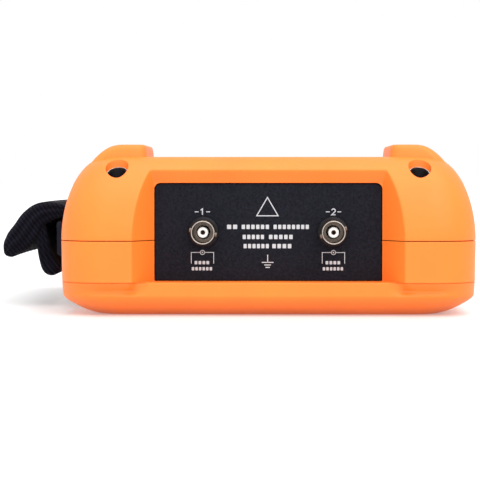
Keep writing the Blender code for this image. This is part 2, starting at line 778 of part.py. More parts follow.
def build_connector(label, centre):
    """Bayonet coaxial connector: metal body, white insulator, centre contact and fixing nut."""
    tip = PANEL_FACE - BARREL_REACH
    collar = PANEL_FACE - GAP
    rear = PANEL_FACE + CONNECTOR_REAR
    floor = tip + 8.6 * MM
    core = 2.7 * MM
    profile = [
        (core, floor), (BARREL_BORE, floor), (BARREL_BORE, tip), (BARREL_RADIUS - 0.3 * MM, tip),
        (BARREL_RADIUS, tip + 0.4 * MM), (BARREL_RADIUS, collar - 1.6 * MM),
        (BARREL_RADIUS + 1.3 * MM, collar - 1.3 * MM), (BARREL_RADIUS + 1.3 * MM, collar),
        (THREAD_RADIUS, collar), (THREAD_RADIUS, rear), (core, rear),
    ]
    mesh_data = bmesh.new()
    add_turned(mesh_data, centre, profile)
    body = place(f"connector_{label}_body", mesh_data, "metal")
    lug = cylinders_cutter(
        f"connector_{label}_lugs", "X", [(tip + 3.4 * MM, centre[1])], 0.95 * MM,
        centre[0] - BARREL_RADIUS - 0.75 * MM, centre[0] + BARREL_RADIUS + 0.75 * MM, 8
    )
    bore = prism_cutter(
        f"connector_{label}_bore", "Y", circle(*centre, BARREL_BORE), tip - 1 * MM, floor
    )
    combine(lug, bore)
    combine(body, lug, "UNION")

    insulator_radius = core - GAP
    bore_radius = 1.15 * MM
    insulator = bmesh.new()
    add_turned(insulator, centre, [
        (bore_radius, tip + 2.2 * MM), (insulator_radius - 0.2 * MM, tip + 2.2 * MM),
        (insulator_radius, tip + 2.5 * MM), (insulator_radius, rear + 1 * MM),
        (bore_radius, rear + 1 * MM),
    ])
    place(f"connector_{label}_insulator", insulator, "white")

    contact = bmesh.new()
    pin_radius = bore_radius - GAP
    add_turned(contact, centre, [
        (0.55 * MM, tip + 3.0 * MM), (pin_radius, tip + 3.0 * MM), (pin_radius, rear + 3 * MM),
        (0.0, rear + 3 * MM), (0.0, tip + 8 * MM), (0.55 * MM, tip + 8 * MM),
    ], 12)
    place(f"connector_{label}_contact", contact, "brass")

    nut = bmesh.new()
    start = PANEL_BACK + GAP
    add_prism(nut, "Y", circle(*centre, 8.0 * MM, 6), start, start + 2.8 * MM)
    nut_object = place(f"connector_{label}_nut", nut, "metal")
    combine(nut_object, prism_cutter(
        f"connector_{label}_nut_bore", "Y", circle(*centre, THREAD_RADIUS + GAP),
        start - 1 * MM, start + 4 * MM
    ))


# ---------------------------------------------------------------- screen side


def key_layout():
    """Name, x, y, width, length and corner radius of each key, from the screen towards the hand end."""
    soft_y = 127.5 * MM
    keys = [
        (f"soft_key_{i + 1}", (i - 1.5) * 30 * MM, soft_y, 20 * MM, 8 * MM, 2 * MM) for i in range(4)
    ]
    middle_y, step = 171.0 * MM, 17.5 * MM
    keys += [
        ("enter_key", 0.0, middle_y, 15 * MM, 15 * MM, 7.4 * MM),
        ("up_key", 0.0, middle_y - step, 17 * MM, 11 * MM, 3 * MM),
        ("down_key", 0.0, middle_y + step, 17 * MM, 11 * MM, 3 * MM),
        ("left_key", -step, middle_y, 11 * MM, 17 * MM, 3 * MM),
        ("right_key", step, middle_y, 11 * MM, 17 * MM, 3 * MM),
    ]
    columns = {
        -46.0 * MM: ("scope_key", "meter_key", "recorder_key"),
        46.0 * MM: ("channel_key", "trigger_key", "time_key"),
    }
    for x, names in columns.items():
        for row, name in enumerate(names):
            keys.append((name, x, middle_y + (row - 1) * 20 * MM, 20 * MM, 11 * MM, 3 * MM))
    bottom_y = 218.0 * MM
    keys += [
        ("power_key", -46.0 * MM, bottom_y, 14 * MM, 14 * MM, 6.9 * MM),
        ("auto_key", 0.0, bottom_y, 24 * MM, 11 * MM, 3 * MM),
        ("run_key", 46.0 * MM, bottom_y, 20 * MM, 11 * MM, 3 * MM),
    ]
    return keys


def key_outline(x, y, width, length, corner, margin=0.0):
    half_x, half_y = width / 2 + margin, length / 2 + margin
    steps = 4 if corner > 5 * MM else 2
    radius = max(0.4 * MM, corner + margin)
    return rounded_rectangle(x - half_x, x + half_x, y - half_y, y + half_y, radius, steps)


def build_key(name, x, y, width, length, corner):
    """Cap that stands out of the face plate, with a flange behind the plate that holds it in."""
    shape = (x, y, width, length, corner)
    face = FACE_HEIGHT - KEY_PROUD
    flange = LENS_HEIGHT
    cap, edge = key_outline(*shape), key_outline(*shape, -KEY_EDGE)
    wide = key_outline(*shape, KEY_FLANGE)
    mesh_data = bmesh.new()
    add_steps(mesh_data, "Z", [
        (edge, face), (cap, face + KEY_EDGE), (cap, flange), (wide, flange),
        (wide, flange + KEY_FLANGE_THICKNESS),
    ])
    place(name, mesh_data, "key", (x, y, flange))


def build_face():
    half = FACE_WIDTH / 2 + PLATE_MARGIN
    outline = rounded_rectangle(
        -half, half, FACE_FRONT - PLATE_MARGIN, FACE_BACK + PLATE_MARGIN, FACE_CORNER
    )
    mesh_data = bmesh.new()
    add_prism(mesh_data, "Z", outline, FACE_HEIGHT, FACE_HEIGHT + PLATE_THICKNESS)
    plate = place("face_plate", mesh_data, "dark")
    holes = bmesh.new()
    low, high = FACE_HEIGHT - 1 * MM, FACE_HEIGHT + PLATE_THICKNESS + 1 * MM
    half_screen = SCREEN_WIDTH / 2
    start, end = SCREEN_FRONT + LENS_MARGIN, SCREEN_FRONT + LENS_MARGIN + SCREEN_HEIGHT
    screen = rounded_rectangle(-half_screen, half_screen, start, end, 2 * MM, 2)
    add_prism(holes, "Z", screen, low, high)
    for _, *shape in key_layout():
        add_prism(holes, "Z", key_outline(*shape, KEY_CLEARANCE), low, high)
    combine(plate, place_cutter("face_plate_holes", holes))

    half_lens = half_screen + LENS_MARGIN
    top = LENS_HEIGHT + LENS_THICKNESS
    lens = bmesh.new()
    add_box(lens, (-half_lens, SCREEN_FRONT, LENS_HEIGHT), (half_lens, SCREEN_BACK, top))
    place("display_lens", lens, "glass")
    module = bmesh.new()
    low_z = top + GAP
    add_box(module, (-half_lens, SCREEN_FRONT, low_z), (half_lens, SCREEN_BACK, low_z + MODULE_THICKNESS))
    place("display_module", module, "metal")

    for key in key_layout():
        build_key(*key)


def build_boards():
    """Key mat, key board, main board and the two screening cans of the input stages."""
    mat_height = LENS_HEIGHT + KEY_FLANGE_THICKNESS + KEY_TRAVEL + GAP
    start, end = SCREEN_BACK + 1.5 * MM, FACE_BACK - 3 * MM
    half = FACE_WIDTH / 2 - 1 * MM
    mat = bmesh.new()
    add_box(mat, (-half, start, mat_height), (half, end, mat_height + MAT_THICKNESS))
    place("key_mat", mat, "key")
    board_low = mat_height + MAT_THICKNESS + GAP
    key_board = bmesh.new()
    add_box(key_board, (-half, start, board_low), (half, end, board_low + BOARD_THICKNESS))
    place("key_board", key_board, "board")

    main = bmesh.new()
    half = BOARD_WIDTH / 2
    top = BOARD_HEIGHT + BOARD_THICKNESS
    add_box(main, (-half, 22 * MM, BOARD_HEIGHT), (half, 239 * MM, top))
    place("main_board", main, "board")
    for label, side in (("ch1", -1), ("ch2", 1)):
        can = bmesh.new()
        inner, outer = sorted((side * 5 * MM, side * 47 * MM))
        start = PANEL_FACE + CONNECTOR_REAR + 5 * MM
        add_box(can, (inner, start, top + GAP), (outer, start + 52 * MM, top + 24 * MM))
        place(f"input_shield_{label}", can, "metal")


# ---------------------------------------------------------------- fasteners and bars


def build_case_screws():
    names = ("left_input", "right_input", "left_hand", "right_hand")
    for name, (x, y) in zip(names, screw_centres()):
        mesh_data = bmesh.new()
        shank, head = circle(x, y, SCREW_SHANK, 12), circle(x, y, SCREW_HEAD, 12)
        seat = SCREW_SEAT + GAP
        top = seat + SCREW_HEAD_HEIGHT
        add_steps(mesh_data, "Z", [
            (circle(x, y, SCREW_SHANK * 0.5, 12), SCREW_TIP), (shank, SCREW_TIP + 2 * MM),
            (shank, seat), (head, seat), (head, top - 0.7 * MM),
            (circle(x, y, SCREW_HEAD - 0.7 * MM, 12), top),
        ])
        screw = place(f"case_screw_{name}", mesh_data, "metal")
        combine(screw, cross_slot(f"case_screw_{name}_slot", x, y, SCREW_HEAD, top))


def cross_slot(name, x, y, head, top):
    """Cross recess of a screw head."""
    long, half = head * 0.62, 0.45 * MM
    outline = [
        (-long, -half), (-half, -half), (-half, -long), (half, -long), (half, -half), (long, -half),
        (long, half), (half, half), (half, long), (-half, long), (-half, half), (-long, half),
    ]
    moved = [(x + u, y + v) for u, v in outline]
    return prism_cutter(name, "Z", moved, top - 1.2 * MM, top + 1 * MM)


def build_strap_bars():
    names = ("left_input", "left_hand", "right_input", "right_hand")
    for name, (x, y) in zip(names, bar_centres()):
        mesh_data = bmesh.new()
        outline = circle(x, y, BAR_RADIUS, 12)
        add_prism(mesh_data, "Z", outline, RECESS_LOW - BAR_GRIP, RECESS_HIGH + BAR_GRIP)
        place(f"strap_bar_{name}", mesh_data, "metal")


# ---------------------------------------------------------------- back: kickstand and battery


def build_kickstand():
    y, z = hinge_centre()
    half = STAND_WIDTH / 2
    plate = rounded_rectangle(-half, half, y - 16 * MM, STAND_START + STAND_LENGTH, 9 * MM, 4)
    straight = [(u, max(v, y)) for u, v in plate]
    unique = [p for i, p in enumerate(straight) if p != straight[i - 1]]
    mesh_data = bmesh.new()
    low = BACK_HEIGHT - STAND_DEPTH + GAP
    add_prism(mesh_data, "Z", unique, low + 0.05 * MM, low + STAND_THICKNESS)
    stand = place("kickstand", mesh_data, "dark", (0.0, y, z))
    barrel = prism_cutter("kickstand_barrel", "X", circle(y, z, HINGE_RADIUS, 16), -half, half)
    combine(stand, barrel, "UNION")
    reach = half + 1 * MM
    combine(stand, cylinders_cutter(
        "kickstand_bore", "X", [(y, z)], HINGE_PIN_RADIUS + GAP, -reach, reach, 12
    ))

    pin = bmesh.new()
    end = half + 2 * GAP + WALL - 0.5 * MM
    add_prism(pin, "X", circle(y, z, HINGE_PIN_RADIUS, 12), -end, end)
    place("kickstand_pin", pin, "metal")


def build_battery():
    half = COVER_WIDTH / 2
    bottom = BACK_HEIGHT - COVER_THICKNESS - GAP / 3
    top = bottom + COVER_THICKNESS
    end = COVER_START + COVER_LENGTH
    mesh_data = bmesh.new()
    outline = rounded_rectangle(-half, half, COVER_START, end, 0.8 * MM, 1)
    add_prism(mesh_data, "Z", outline, bottom, top)
    cover = place("battery_cover", mesh_data, "dark")
    combine(cover, boxes_cutter("cover_tabs", cover_tabs(0.0)), "UNION")
    x, y = 0.0, COVER_START + COVER_SCREW_INSET
    combine(cover, cylinders_cutter(
        "cover_hole", "Z", [(x, y)], SCREW_SHANK + GAP, bottom - 1 * MM, top + 1 * MM, 12
    ))
    head = 3.0 * MM
    sink = 1.4 * MM
    combine(cover, cylinders_cutter(
        "cover_sink", "Z", [(x, y)], head + GAP, top - sink, top + 1 * MM, 16
    ))

    screw = bmesh.new()
    seat = top - sink + GAP
    add_steps(screw, "Z", [
        (circle(x, y, SCREW_SHANK, 12), BACK_HEIGHT - 11 * MM), (circle(x, y, SCREW_SHANK, 12), seat),
        (circle(x, y, head, 12), seat), (circle(x, y, head, 12), top - 0.1 * MM),
    ])
    screw_object = place("battery_cover_screw", screw, "metal")
    slot = box_cutter(
        "cover_screw_slot", (x - head * 0.8, y - 0.4 * MM, top - 0.7 * MM),
        (x + head * 0.8, y + 0.4 * MM, top + 1 * MM)
    )
    combine(screw_object, slot)

    pack = bmesh.new()
    half = BATTERY_WIDTH / 2
    high = BACK_HEIGHT - COVER_THICKNESS - 3 * GAP
    low = (-half, BATTERY_START, BATTERY_LOW)
    add_box(pack, low, (half, BATTERY_START + BATTERY_LENGTH, high))
    place("battery_pack", pack, "key")


# ---------------------------------------------------------------- ports and meter sockets


def build_ports():
    """USB socket, power jack and the rubber cover that closes both."""
    low_z = BOARD_HEIGHT + BOARD_THICKNESS + GAP
    mouth = HALF_WIDTH - PORT_DEPTH - 2 * GAP
    half = USB_WIDTH / 2
    usb = bmesh.new()
    add_box(usb, (mouth - 16 * MM, USB_Y - half, low_z), (mouth, USB_Y + half, low_z + USB_HEIGHT))
    usb_object = place("usb_socket", usb, "metal")
    rim = 0.9 * MM
    combine(usb_object, box_cutter(
        "usb_cavity", (mouth - 11 * MM, USB_Y - half + rim, low_z + rim),
        (mouth + 1 * MM, USB_Y + half - rim, low_z + USB_HEIGHT - rim)
    ))

    inner = HALF_WIDTH - PORT_WALL - 2 * GAP
    half = POWER_SIZE / 2
    z = power_height()
    jack = bmesh.new()
    high_z = low_z + POWER_SIZE - 3 * MM
    add_box(jack, (inner - 13 * MM, POWER_Y - half, low_z), (inner, POWER_Y + half, high_z))
    jack_object = place("power_jack", jack, "dark")
    ring = bmesh.new()
    bore = cylinders_cutter(
        "power_bore", "X", [(POWER_Y, z)], POWER_BORE, inner - 9 * MM, inner + 1 * MM
    )
    add_prism(ring, "X", circle(POWER_Y, z, 1 * MM, 10), inner - 10 * MM, inner - 1 * MM)
    combine(bore, place_cutter("power_pin", ring))
    combine(jack_object, bore)

    flap = bmesh.new()
    side_gap = 2 * GAP
    inner = HALF_WIDTH - PORT_DEPTH + GAP
    low = (PORT_START + side_gap, PORT_LOW + side_gap)
    high = (PORT_START + PORT_LENGTH - side_gap, PORT_HIGH - side_gap)
    outline = rounded_rectangle(low[0], high[0], low[1], high[1], 1.2 * MM, 2)
    edge = rounded_rectangle(low[0] + 0.4 * MM, high[0] - 0.4 * MM, low[1] + 0.4 * MM,
                             high[1] - 0.4 * MM, 1 * MM, 2)
    outer = inner + FLAP_THICKNESS
    add_steps(flap, "X", [(outline, inner), (outline, outer - 0.4 * MM), (edge, outer)])
    place("port_cover", flap, "dark", (outer, 0.0, high[1]))


def build_meter_end():
    face = BODY_LENGTH - 2.2 * MM
    middle = (METER_LOW + METER_HIGH) / 2
    centres = [((i - 1) * METER_SPACING, middle) for i in range(3)]
    flanged_panel(
        "meter_panel", METER_WIDTH / 2 - GAP, METER_LOW + GAP, METER_HIGH - GAP,
        (METER_CORNER - GAP, METER_CORNER - GAP), face, -METER_THICKNESS, centres, SOCKET_RADIUS + GAP,
    )
    for name, centre in zip(("current", "common", "voltage"), centres):
        start = face + GAP
        front = start + 1.0 * MM
        rear = front - SOCKET_LENGTH
        wide = SOCKET_RADIUS + 1.3 * MM
        sleeve = front - SLEEVE_DEPTH
        floor = rear + 3 * MM
        mesh_data = bmesh.new()
        add_turned(mesh_data, centre, [
            (0.0, rear), (SOCKET_RADIUS, rear), (SOCKET_RADIUS, start), (wide, start),
            (wide, front - 0.3 * MM), (wide - 0.4 * MM, front), (SOCKET_BORE, front),
            (SOCKET_BORE, floor), (SLEEVE_RADIUS, floor), (SLEEVE_RADIUS, sleeve),
            (SLEEVE_BORE, sleeve), (SLEEVE_BORE, floor), (0.0, floor),
        ], 16)
        place(f"meter_socket_{name}", mesh_data, "socket")


# ---------------------------------------------------------------- hand strap


def bulge_at(y):
    """How far the strap stands out along its length, from 0 at its bars to 1 at mid length."""
    share = min(max((y - BAR_FRONT) / (BAR_BACK - BAR_FRONT), 0.0), 1.0)
    return math.sin(math.pi * share)


def webbing_x(y):
    return -(BAR_X + WEBBING_BULGE * bulge_at(y) ** WEBBING_FULLNESS)


def build_webbing():
    """Doubled webbing from bar to bar, with an eye round each bar."""
    low, high = STRAP_HEIGHT - WEBBING_WIDTH / 2, STRAP_HEIGHT + WEBBING_WIDTH / 2
    half = WEBBING_THICKNESS / 2
    reach = BAR_RADIUS + GAP + EYE_THICKNESS
    start, end = BAR_FRONT + 1.2 * MM, BAR_BACK - 1.2 * MM
    count = 18
    stations = [
        start + (end - start) * (1 - math.cos(math.pi * i / count)) / 2 for i in range(count + 1)
    ]
    left, right = [], []
    step = 0.5 * MM
    for y in stations:
        slope = (webbing_x(y + step) - webbing_x(y - step)) / (2 * step)
        length = math.hypot(1, slope)
        left.append((webbing_x(y) - half / length, y + half * slope / length))
        right.append((webbing_x(y) + half / length, y - half * slope / length))
    mesh_data = bmesh.new()
    add_prism(mesh_data, "Z", left + right[::-1], low, high)
    webbing = place("hand_strap", mesh_data, "strap")
    eyes = [(-BAR_X, BAR_FRONT), (-BAR_X, BAR_BACK)]
    rings = cylinders_cutter("strap_eyes", "Z", eyes, reach, low + 0.01 * MM, high - 0.01 * MM)
    combine(webbing, rings, "UNION")
    bore = BAR_RADIUS + GAP
    combine(webbing, cylinders_cutter("strap_eye_bores", "Z", eyes, bore, low - MM, high + MM, 12))


def build_strap_pad(stations=9):
    """Padded piece folded over the webbing. It bows out a little at mid length."""
    rings = []
    least = bulge_at(PAD_FRONT)
    for i in range(stations):
        y = PAD_FRONT + (PAD_BACK - PAD_FRONT) * i / (stations - 1)
        bow = PAD_BOW * (bulge_at(y) - least) / (1 - least)
        rings.append([(-HALF_WIDTH - out * MM - bow, y, up * MM) for out, up in PAD_SECTION])
    mesh_data = bmesh.new()
    add_rings(mesh_data, rings)
    place("strap_pad", mesh_data, "strap")


def build_instrument():
    build_front_housing()
    build_rear_housing()
    build_input_panel()
    for label, centre in zip(("ch1", "ch2"), connector_centres()):
        build_connector(label, centre)
    build_face()
    build_boards()
    build_case_screws()
    build_strap_bars()
    build_kickstand()
    build_battery()
    build_ports()
    build_meter_end()
    build_webbing()
    build_strap_pad()


build_instrument()
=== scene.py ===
"""Looks of the handheld oscilloscope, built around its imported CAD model.

Shapes are worked out in millimetres in the case's own frame: X from the middle plane, Y from the
input end's foremost point, Z from the surface that the instrument lies on. TO_ROW takes them to
the row's frame, in metres.
"""

import json
import math

import bmesh
import bpy
import numpy as np
from mathutils import Matrix, Vector
from mathutils.bvhtree import BVHTree


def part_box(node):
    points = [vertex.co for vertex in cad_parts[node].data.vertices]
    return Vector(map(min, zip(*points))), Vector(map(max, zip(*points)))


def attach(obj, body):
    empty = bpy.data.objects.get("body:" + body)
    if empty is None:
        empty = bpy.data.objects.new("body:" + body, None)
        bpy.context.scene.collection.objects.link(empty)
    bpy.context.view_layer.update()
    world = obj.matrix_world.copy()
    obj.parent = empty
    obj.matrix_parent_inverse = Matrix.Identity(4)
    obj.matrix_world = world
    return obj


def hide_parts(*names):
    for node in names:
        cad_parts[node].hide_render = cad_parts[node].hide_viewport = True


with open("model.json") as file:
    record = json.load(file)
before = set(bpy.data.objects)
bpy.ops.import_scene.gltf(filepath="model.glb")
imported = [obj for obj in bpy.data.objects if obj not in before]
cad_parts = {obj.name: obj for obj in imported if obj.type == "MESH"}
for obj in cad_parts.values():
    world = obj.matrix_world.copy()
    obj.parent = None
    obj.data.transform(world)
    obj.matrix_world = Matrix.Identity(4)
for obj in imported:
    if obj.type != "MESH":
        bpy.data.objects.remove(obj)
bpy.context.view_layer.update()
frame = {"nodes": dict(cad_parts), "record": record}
NODES = frame["nodes"]

MM = 0.001
FRONT_LOW, FRONT_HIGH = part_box("front_housing")
ORIGIN = Vector(((FRONT_LOW.x + FRONT_HIGH.x) / 2, FRONT_LOW.y, 0.0))
TO_ROW = Matrix.Translation(ORIGIN) @ Matrix.Scale(MM, 4)

# Case, in millimetres, as the CAD model has it
HALF_WIDTH = (FRONT_HIGH.x - FRONT_LOW.x) / 2 / MM
LENGTH = (FRONT_HIGH.y - FRONT_LOW.y) / MM
BACK = 62.0
SEAM = 29.2
WALL = 2.8
GAP = 0.3
CORNER = 18.0
RIM_HEIGHT = 6.6
CREASE = 7.6
LEDGE = 13.15
RIM_PROFILE = ((0.0, 1.0), (0.18, 0.72), (0.53, 0.38), (1.0, 0.05))
RIM_CHAMFER = 13.3
SIDE = (0.4, 0.3, 16.8, 1.0)  # inset at the crease and at the ledge, dome and its fullness
NOSE = (2.8, 0.0, 22.6, 0.9)
TAIL = (0.4, 0.3, 18.0, 1.0)
SCOOP_UNDER_LOBE = 1.6
SCREEN_OPENING = (-63.0, 63.0, 21.0, 238.4, 8.0)  # low and high X, low and high Y, corner radius

POCKET_DEPTH = 13.6
POCKET_HALF = 44.7
POCKET_SLOPE = 0.586
BROW_LOW = 51.7
BROW_LEAN = 2.6 / 5.5
PANEL_LOW, PANEL_HIGH = 13.5, 51.4
PANEL_FACE = 14.3
CONNECTORS = {"ch1": (-25.3, 32.5, 10.0), "ch2": (25.3, 32.5, -18.0)}  # x, z and lug angle

SCREWS = {
    "left_input": (-59.2, 12.9),
    "right_input": (59.2, 12.9),
    "left_hand": (-59.2, LENGTH - 12.9),
    "right_hand": (59.2, LENGTH - 12.9),
}
WELL_RADIUS = 4.45
WELL_FLOOR = 44.0
LINER_RADIUS = 4.4

KICKSTAND_FACE = 61.6  # outer face of its plate; the hinge barrels stand higher
KICKSTAND_HINGE = (63.1, 60.2)  # y and z
COVER_SCREW = (0.0, 154.4)
SOCKET_SPACING, SOCKET_HEIGHT = 19.0, 29.2
BAR_X, BAR_FRONT, BAR_BACK = 78.2, 36.0, 221.0
BAR_SPAN = BAR_BACK - BAR_FRONT

# Camera: the distance and height from which the pocket's floor and the seam look as they do
EYE = (0.0, -700.0, 52.0)
AIM = (-0.01548, 1.0, -0.03179)
LENS = 136.6


# ---------------------------------------------------------------- mesh tools


def add_loft(mesh_data, rings, caps=True):
    """Skins a row of rings of equal count."""
    made = [[mesh_data.verts.new(point) for point in ring] for ring in rings]
    count = len(made[0])
    for low, high in zip(made, made[1:]):
        for i in range(count):
            j = (i + 1) % count
            mesh_data.faces.new((low[i], low[j], high[j], high[i]))
    if caps:
        mesh_data.faces.new(made[0])
        mesh_data.faces.new(made[-1])


def on_axis(axis, outline, distance):
    if axis == "X":
        return [(distance, u, v) for u, v in outline]
    if axis == "Y":
        return [(u, distance, v) for u, v in outline]
    return [(u, v, distance) for u, v in outline]


def add_stack(mesh_data, axis, steps):
    """A stack of (outline, distance) rings along an axis."""
    add_loft(mesh_data, [on_axis(axis, outline, distance) for outline, distance in steps])


def add_prism(mesh_data, axis, outline, start, end):
    add_stack(mesh_data, axis, [(outline, start), (outline, end)])


def rounded(low_u, high_u, low_v, high_v, radius, steps=8, low_radius=None):
    """Counter-clockwise rectangle with round corners. The two low corners may have their own radius."""
    high = min(radius, 0.499 * (high_u - low_u), 0.499 * (high_v - low_v))
    low = high if low_radius is None else low_radius
    centres = (
        (high_u - high, high_v - high, high),
        (low_u + high, high_v - high, high),
        (low_u + low, low_v + low, low),
        (high_u - low, low_v + low, low),
    )
    outline = []
    for corner, (u, v, radius) in enumerate(centres):
        for step in range(steps + 1):
            turn = math.pi / 2 * (corner + step / steps)
            outline.append((u + radius * math.cos(turn), v + radius * math.sin(turn)))
    return outline


def circle(u, v, radius, steps=48):
    turns = [2 * math.pi * (step + 0.5) / steps for step in range(steps)]
    return [(u + radius * math.cos(turn), v + radius * math.sin(turn)) for turn in turns]


def add_turned(mesh_data, centre, profile, steps=64):
    """Turns a closed (radius, y) profile round the line along Y through centre = (x, z)."""
    rings = []
    for radius, y in profile:
        if radius == 0:
            rings.append([mesh_data.verts.new((centre[0], y, centre[1]))])
        else:
            outline = circle(centre[0], centre[1], radius, steps)
            rings.append([mesh_data.verts.new(point) for point in on_axis("Y", outline, y)])
    for first, second in zip(rings, rings[1:] + rings[:1]):
        if len(first) == len(second) == 1:
            continue
        for i in range(steps):
            j = (i + 1) % steps
            corners = [first[i % len(first)], first[j % len(first)]]
            corners += [second[j % len(second)], second[i % len(second)]]
            mesh_data.faces.new(list(dict.fromkeys(corners)))


def linked(name, data):
    obj = bpy.data.objects.new(name, data)
    bpy.context.scene.collection.objects.link(obj)
    return obj


def raw_object(name, mesh_data):
    """An object in millimetres, still outside the row's frame."""
    bmesh.ops.recalc_face_normals(mesh_data, faces=mesh_data.faces)
    mesh = bpy.data.meshes.new(name)
    mesh_data.to_mesh(mesh)
    mesh_data.free()
    return linked(name, mesh)


def as_cutter(obj):
    """Turns an object back into mesh data, and removes it."""
    mesh_data = bmesh.new()
    mesh_data.from_mesh(obj.data)
    bpy.data.objects.remove(obj)
    return mesh_data


def cuts(*meshes):
    return [("DIFFERENCE", mesh_data) for mesh_data in meshes]


def carve(target, cutters):
    """Cuts each mesh from the target, or adds it, and leaves a plain mesh."""
    tools = []
    for operation, mesh_data in cutters:
        tool = raw_object(f"{target.name}_tool", mesh_data)
        modifier = target.modifiers.new("carve", "BOOLEAN")
        modifier.operation = operation
        modifier.object = tool
        modifier.solver = "EXACT"
        tools.append(tool)
    graph = bpy.context.evaluated_depsgraph_get()
    carved = bpy.data.meshes.new_from_object(target.evaluated_get(graph))
    target.modifiers.clear()
    old = target.data
    target.data = carved
    bpy.data.meshes.remove(old)
    for tool in tools:
        data = tool.data
        bpy.data.objects.remove(tool)
        bpy.data.meshes.remove(data)
    return target


def settle(obj, material, body="case", slot=None, replaces=(), angle=30.0):
    """Takes a millimetre object to the row's frame, finishes it, and lets it ride on a body."""
    mesh = obj.data
    mesh.transform(TO_ROW)
    mesh.materials.clear()
    mesh.materials.append(material)
    mesh.shade_smooth()
    mesh.set_sharp_from_angle(angle=math.radians(angle))
    mesh.update()
    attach(obj, body)
    if replaces:
        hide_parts(*replaces)
    return obj


def make_piece(name, mesh_data, material, **settings):
    return settle(raw_object(name, mesh_data), material, **settings)


def smooth_max(a, b, reach):
    return (a + b + np.sqrt((a - b) ** 2 + reach * reach)) / 2


def smooth_min(a, b, reach):
    return (a + b - np.sqrt((a - b) ** 2 + reach * reach)) / 2


def smooth_step(low, high, value):
    t = np.clip((value - low) / (high - low), 0.0, 1.0)
    return t * t * (3 - 2 * t)


def monotone(points, value):
    """Smooth curve through (x, y) points that never overshoots them."""
    xs = [x for x, _ in points]
    ys = [y for _, y in points]
    if value <= xs[0]:
        return ys[0]
    if value >= xs[-1]:
        return ys[-1]
    slopes = [(ys[i + 1] - ys[i]) / (xs[i + 1] - xs[i]) for i in range(len(xs) - 1)]
    tangents = [slopes[0]]
    for before, after in zip(slopes, slopes[1:]):
        tangents.append(0.0 if before * after <= 0 else 2 * before * after / (before + after))
    tangents.append(slopes[-1])
    i = max(k for k in range(len(xs) - 1) if xs[k] <= value)
    width = xs[i + 1] - xs[i]
    t = (value - xs[i]) / width
    return (
        ys[i] * (1 + 2 * t) * (1 - t) ** 2
        + tangents[i] * width * t * (1 - t) ** 2
        + ys[i + 1] * t * t * (3 - 2 * t)
        + tangents[i + 1] * width * t * t * (t - 1)
    )


# ---------------------------------------------------------------- materials


class Nodes:
    """Short calls for a material's node tree."""

    def __init__(self, name):
        self.material = bpy.data.materials.new(name)
        self.material.use_nodes = True
        self.tree = self.material.node_tree
        self.shader = self.tree.nodes["Principled BSDF"]
        self.coordinates = self.add("ShaderNodeTexCoord").outputs["Object"]

    def add(self, kind, **settings):
        node = self.tree.nodes.new(kind)
        for key, value in settings.items():
            setattr(node, key, value)
        return node

    def link(self, source, target):
        self.tree.links.new(source, target)

    def noise(self, size, detail=2.0, roughness=0.5, stretch=None):
        """Noise whose features are about size millimetres across."""
        node = self.add("ShaderNodeTexNoise")
        node.inputs["Scale"].default_value = 1.0 / (size * MM)
        node.inputs["Detail"].default_value = detail
        node.inputs["Roughness"].default_value = roughness
        source = self.coordinates
        if stretch:
            source = self.mapped(stretch)
        self.link(source, node.inputs["Vector"])
        return node.outputs["Fac"]

    def mapped(self, scale=(1, 1, 1), rotation=(0, 0, 0)):
        node = self.add("ShaderNodeMapping")
        node.inputs["Scale"].default_value = scale
        node.inputs["Rotation"].default_value = rotation
        self.link(self.coordinates, node.inputs["Vector"])
        return node.outputs["Vector"]

    def ranged(self, source, low, high, start=0.3, end=0.7):
        node = self.add("ShaderNodeMapRange")
        node.inputs["From Min"].default_value = start
        node.inputs["From Max"].default_value = end
        node.inputs["To Min"].default_value = low
        node.inputs["To Max"].default_value = high
        self.link(source, node.inputs["Value"])
        return node.outputs["Result"]

    def mixed(self, factor, first, second):
        node = self.add("ShaderNodeMix", data_type="RGBA")
        self.link(factor, node.inputs["Factor"])
        for socket, value in (("A", first), ("B", second)):
            target = [s for s in node.inputs if s.name == socket and s.type == "RGBA"][0]
            if isinstance(value, tuple):
                target.default_value = (*value, 1.0)
            else:
                self.link(value, target)
        return [s for s in node.outputs if s.type == "RGBA"][0]

    def math(self, operation, first, second=None):
        node = self.add("ShaderNodeMath", operation=operation)
        for socket, value in zip(node.inputs, (first, second)):
            if value is None:
                continue
            if isinstance(value, (int, float)):
                socket.default_value = value
            else:
                self.link(value, socket)
        return node.outputs["Value"]

    def wave(self, size, rotation=(0, 0, 0), distortion=0.0):
        """Parallel bands, one every size millimetres, across X before the rotation."""
        node = self.add("ShaderNodeTexWave", wave_profile="SIN")
        node.inputs["Scale"].default_value = 0.314 / (size * MM)
        node.inputs["Distortion"].default_value = distortion
        self.link(self.mapped(rotation=rotation), node.inputs["Vector"])
        return node.outputs["Fac"]

    def bump(self, source, depth, normal=None):
        """Relief of depth millimetres."""
        node = self.add("ShaderNodeBump")
        node.inputs["Strength"].default_value = 1.0
        node.inputs["Distance"].default_value = depth * MM
        self.link(source, node.inputs["Height"])
        if normal:
            self.link(normal, node.inputs["Normal"])
        return node.outputs["Normal"]

    def soft_edges(self, radius):
        node = self.add("ShaderNodeBevel", samples=6)
        node.inputs["Radius"].default_value = radius * MM
        return node.outputs["Normal"]

    def set(self, **values):
        for key, value in values.items():
            socket = self.shader.inputs[key.replace("_", " ")]
            if isinstance(value, (int, float)):
                socket.default_value = value
            elif isinstance(value, tuple):
                socket.default_value = (*value, 1.0)
            else:
                self.link(value, socket)
        return self.material


def shade(colour, factor):
    return tuple(min(1.0, c * factor) for c in colour)


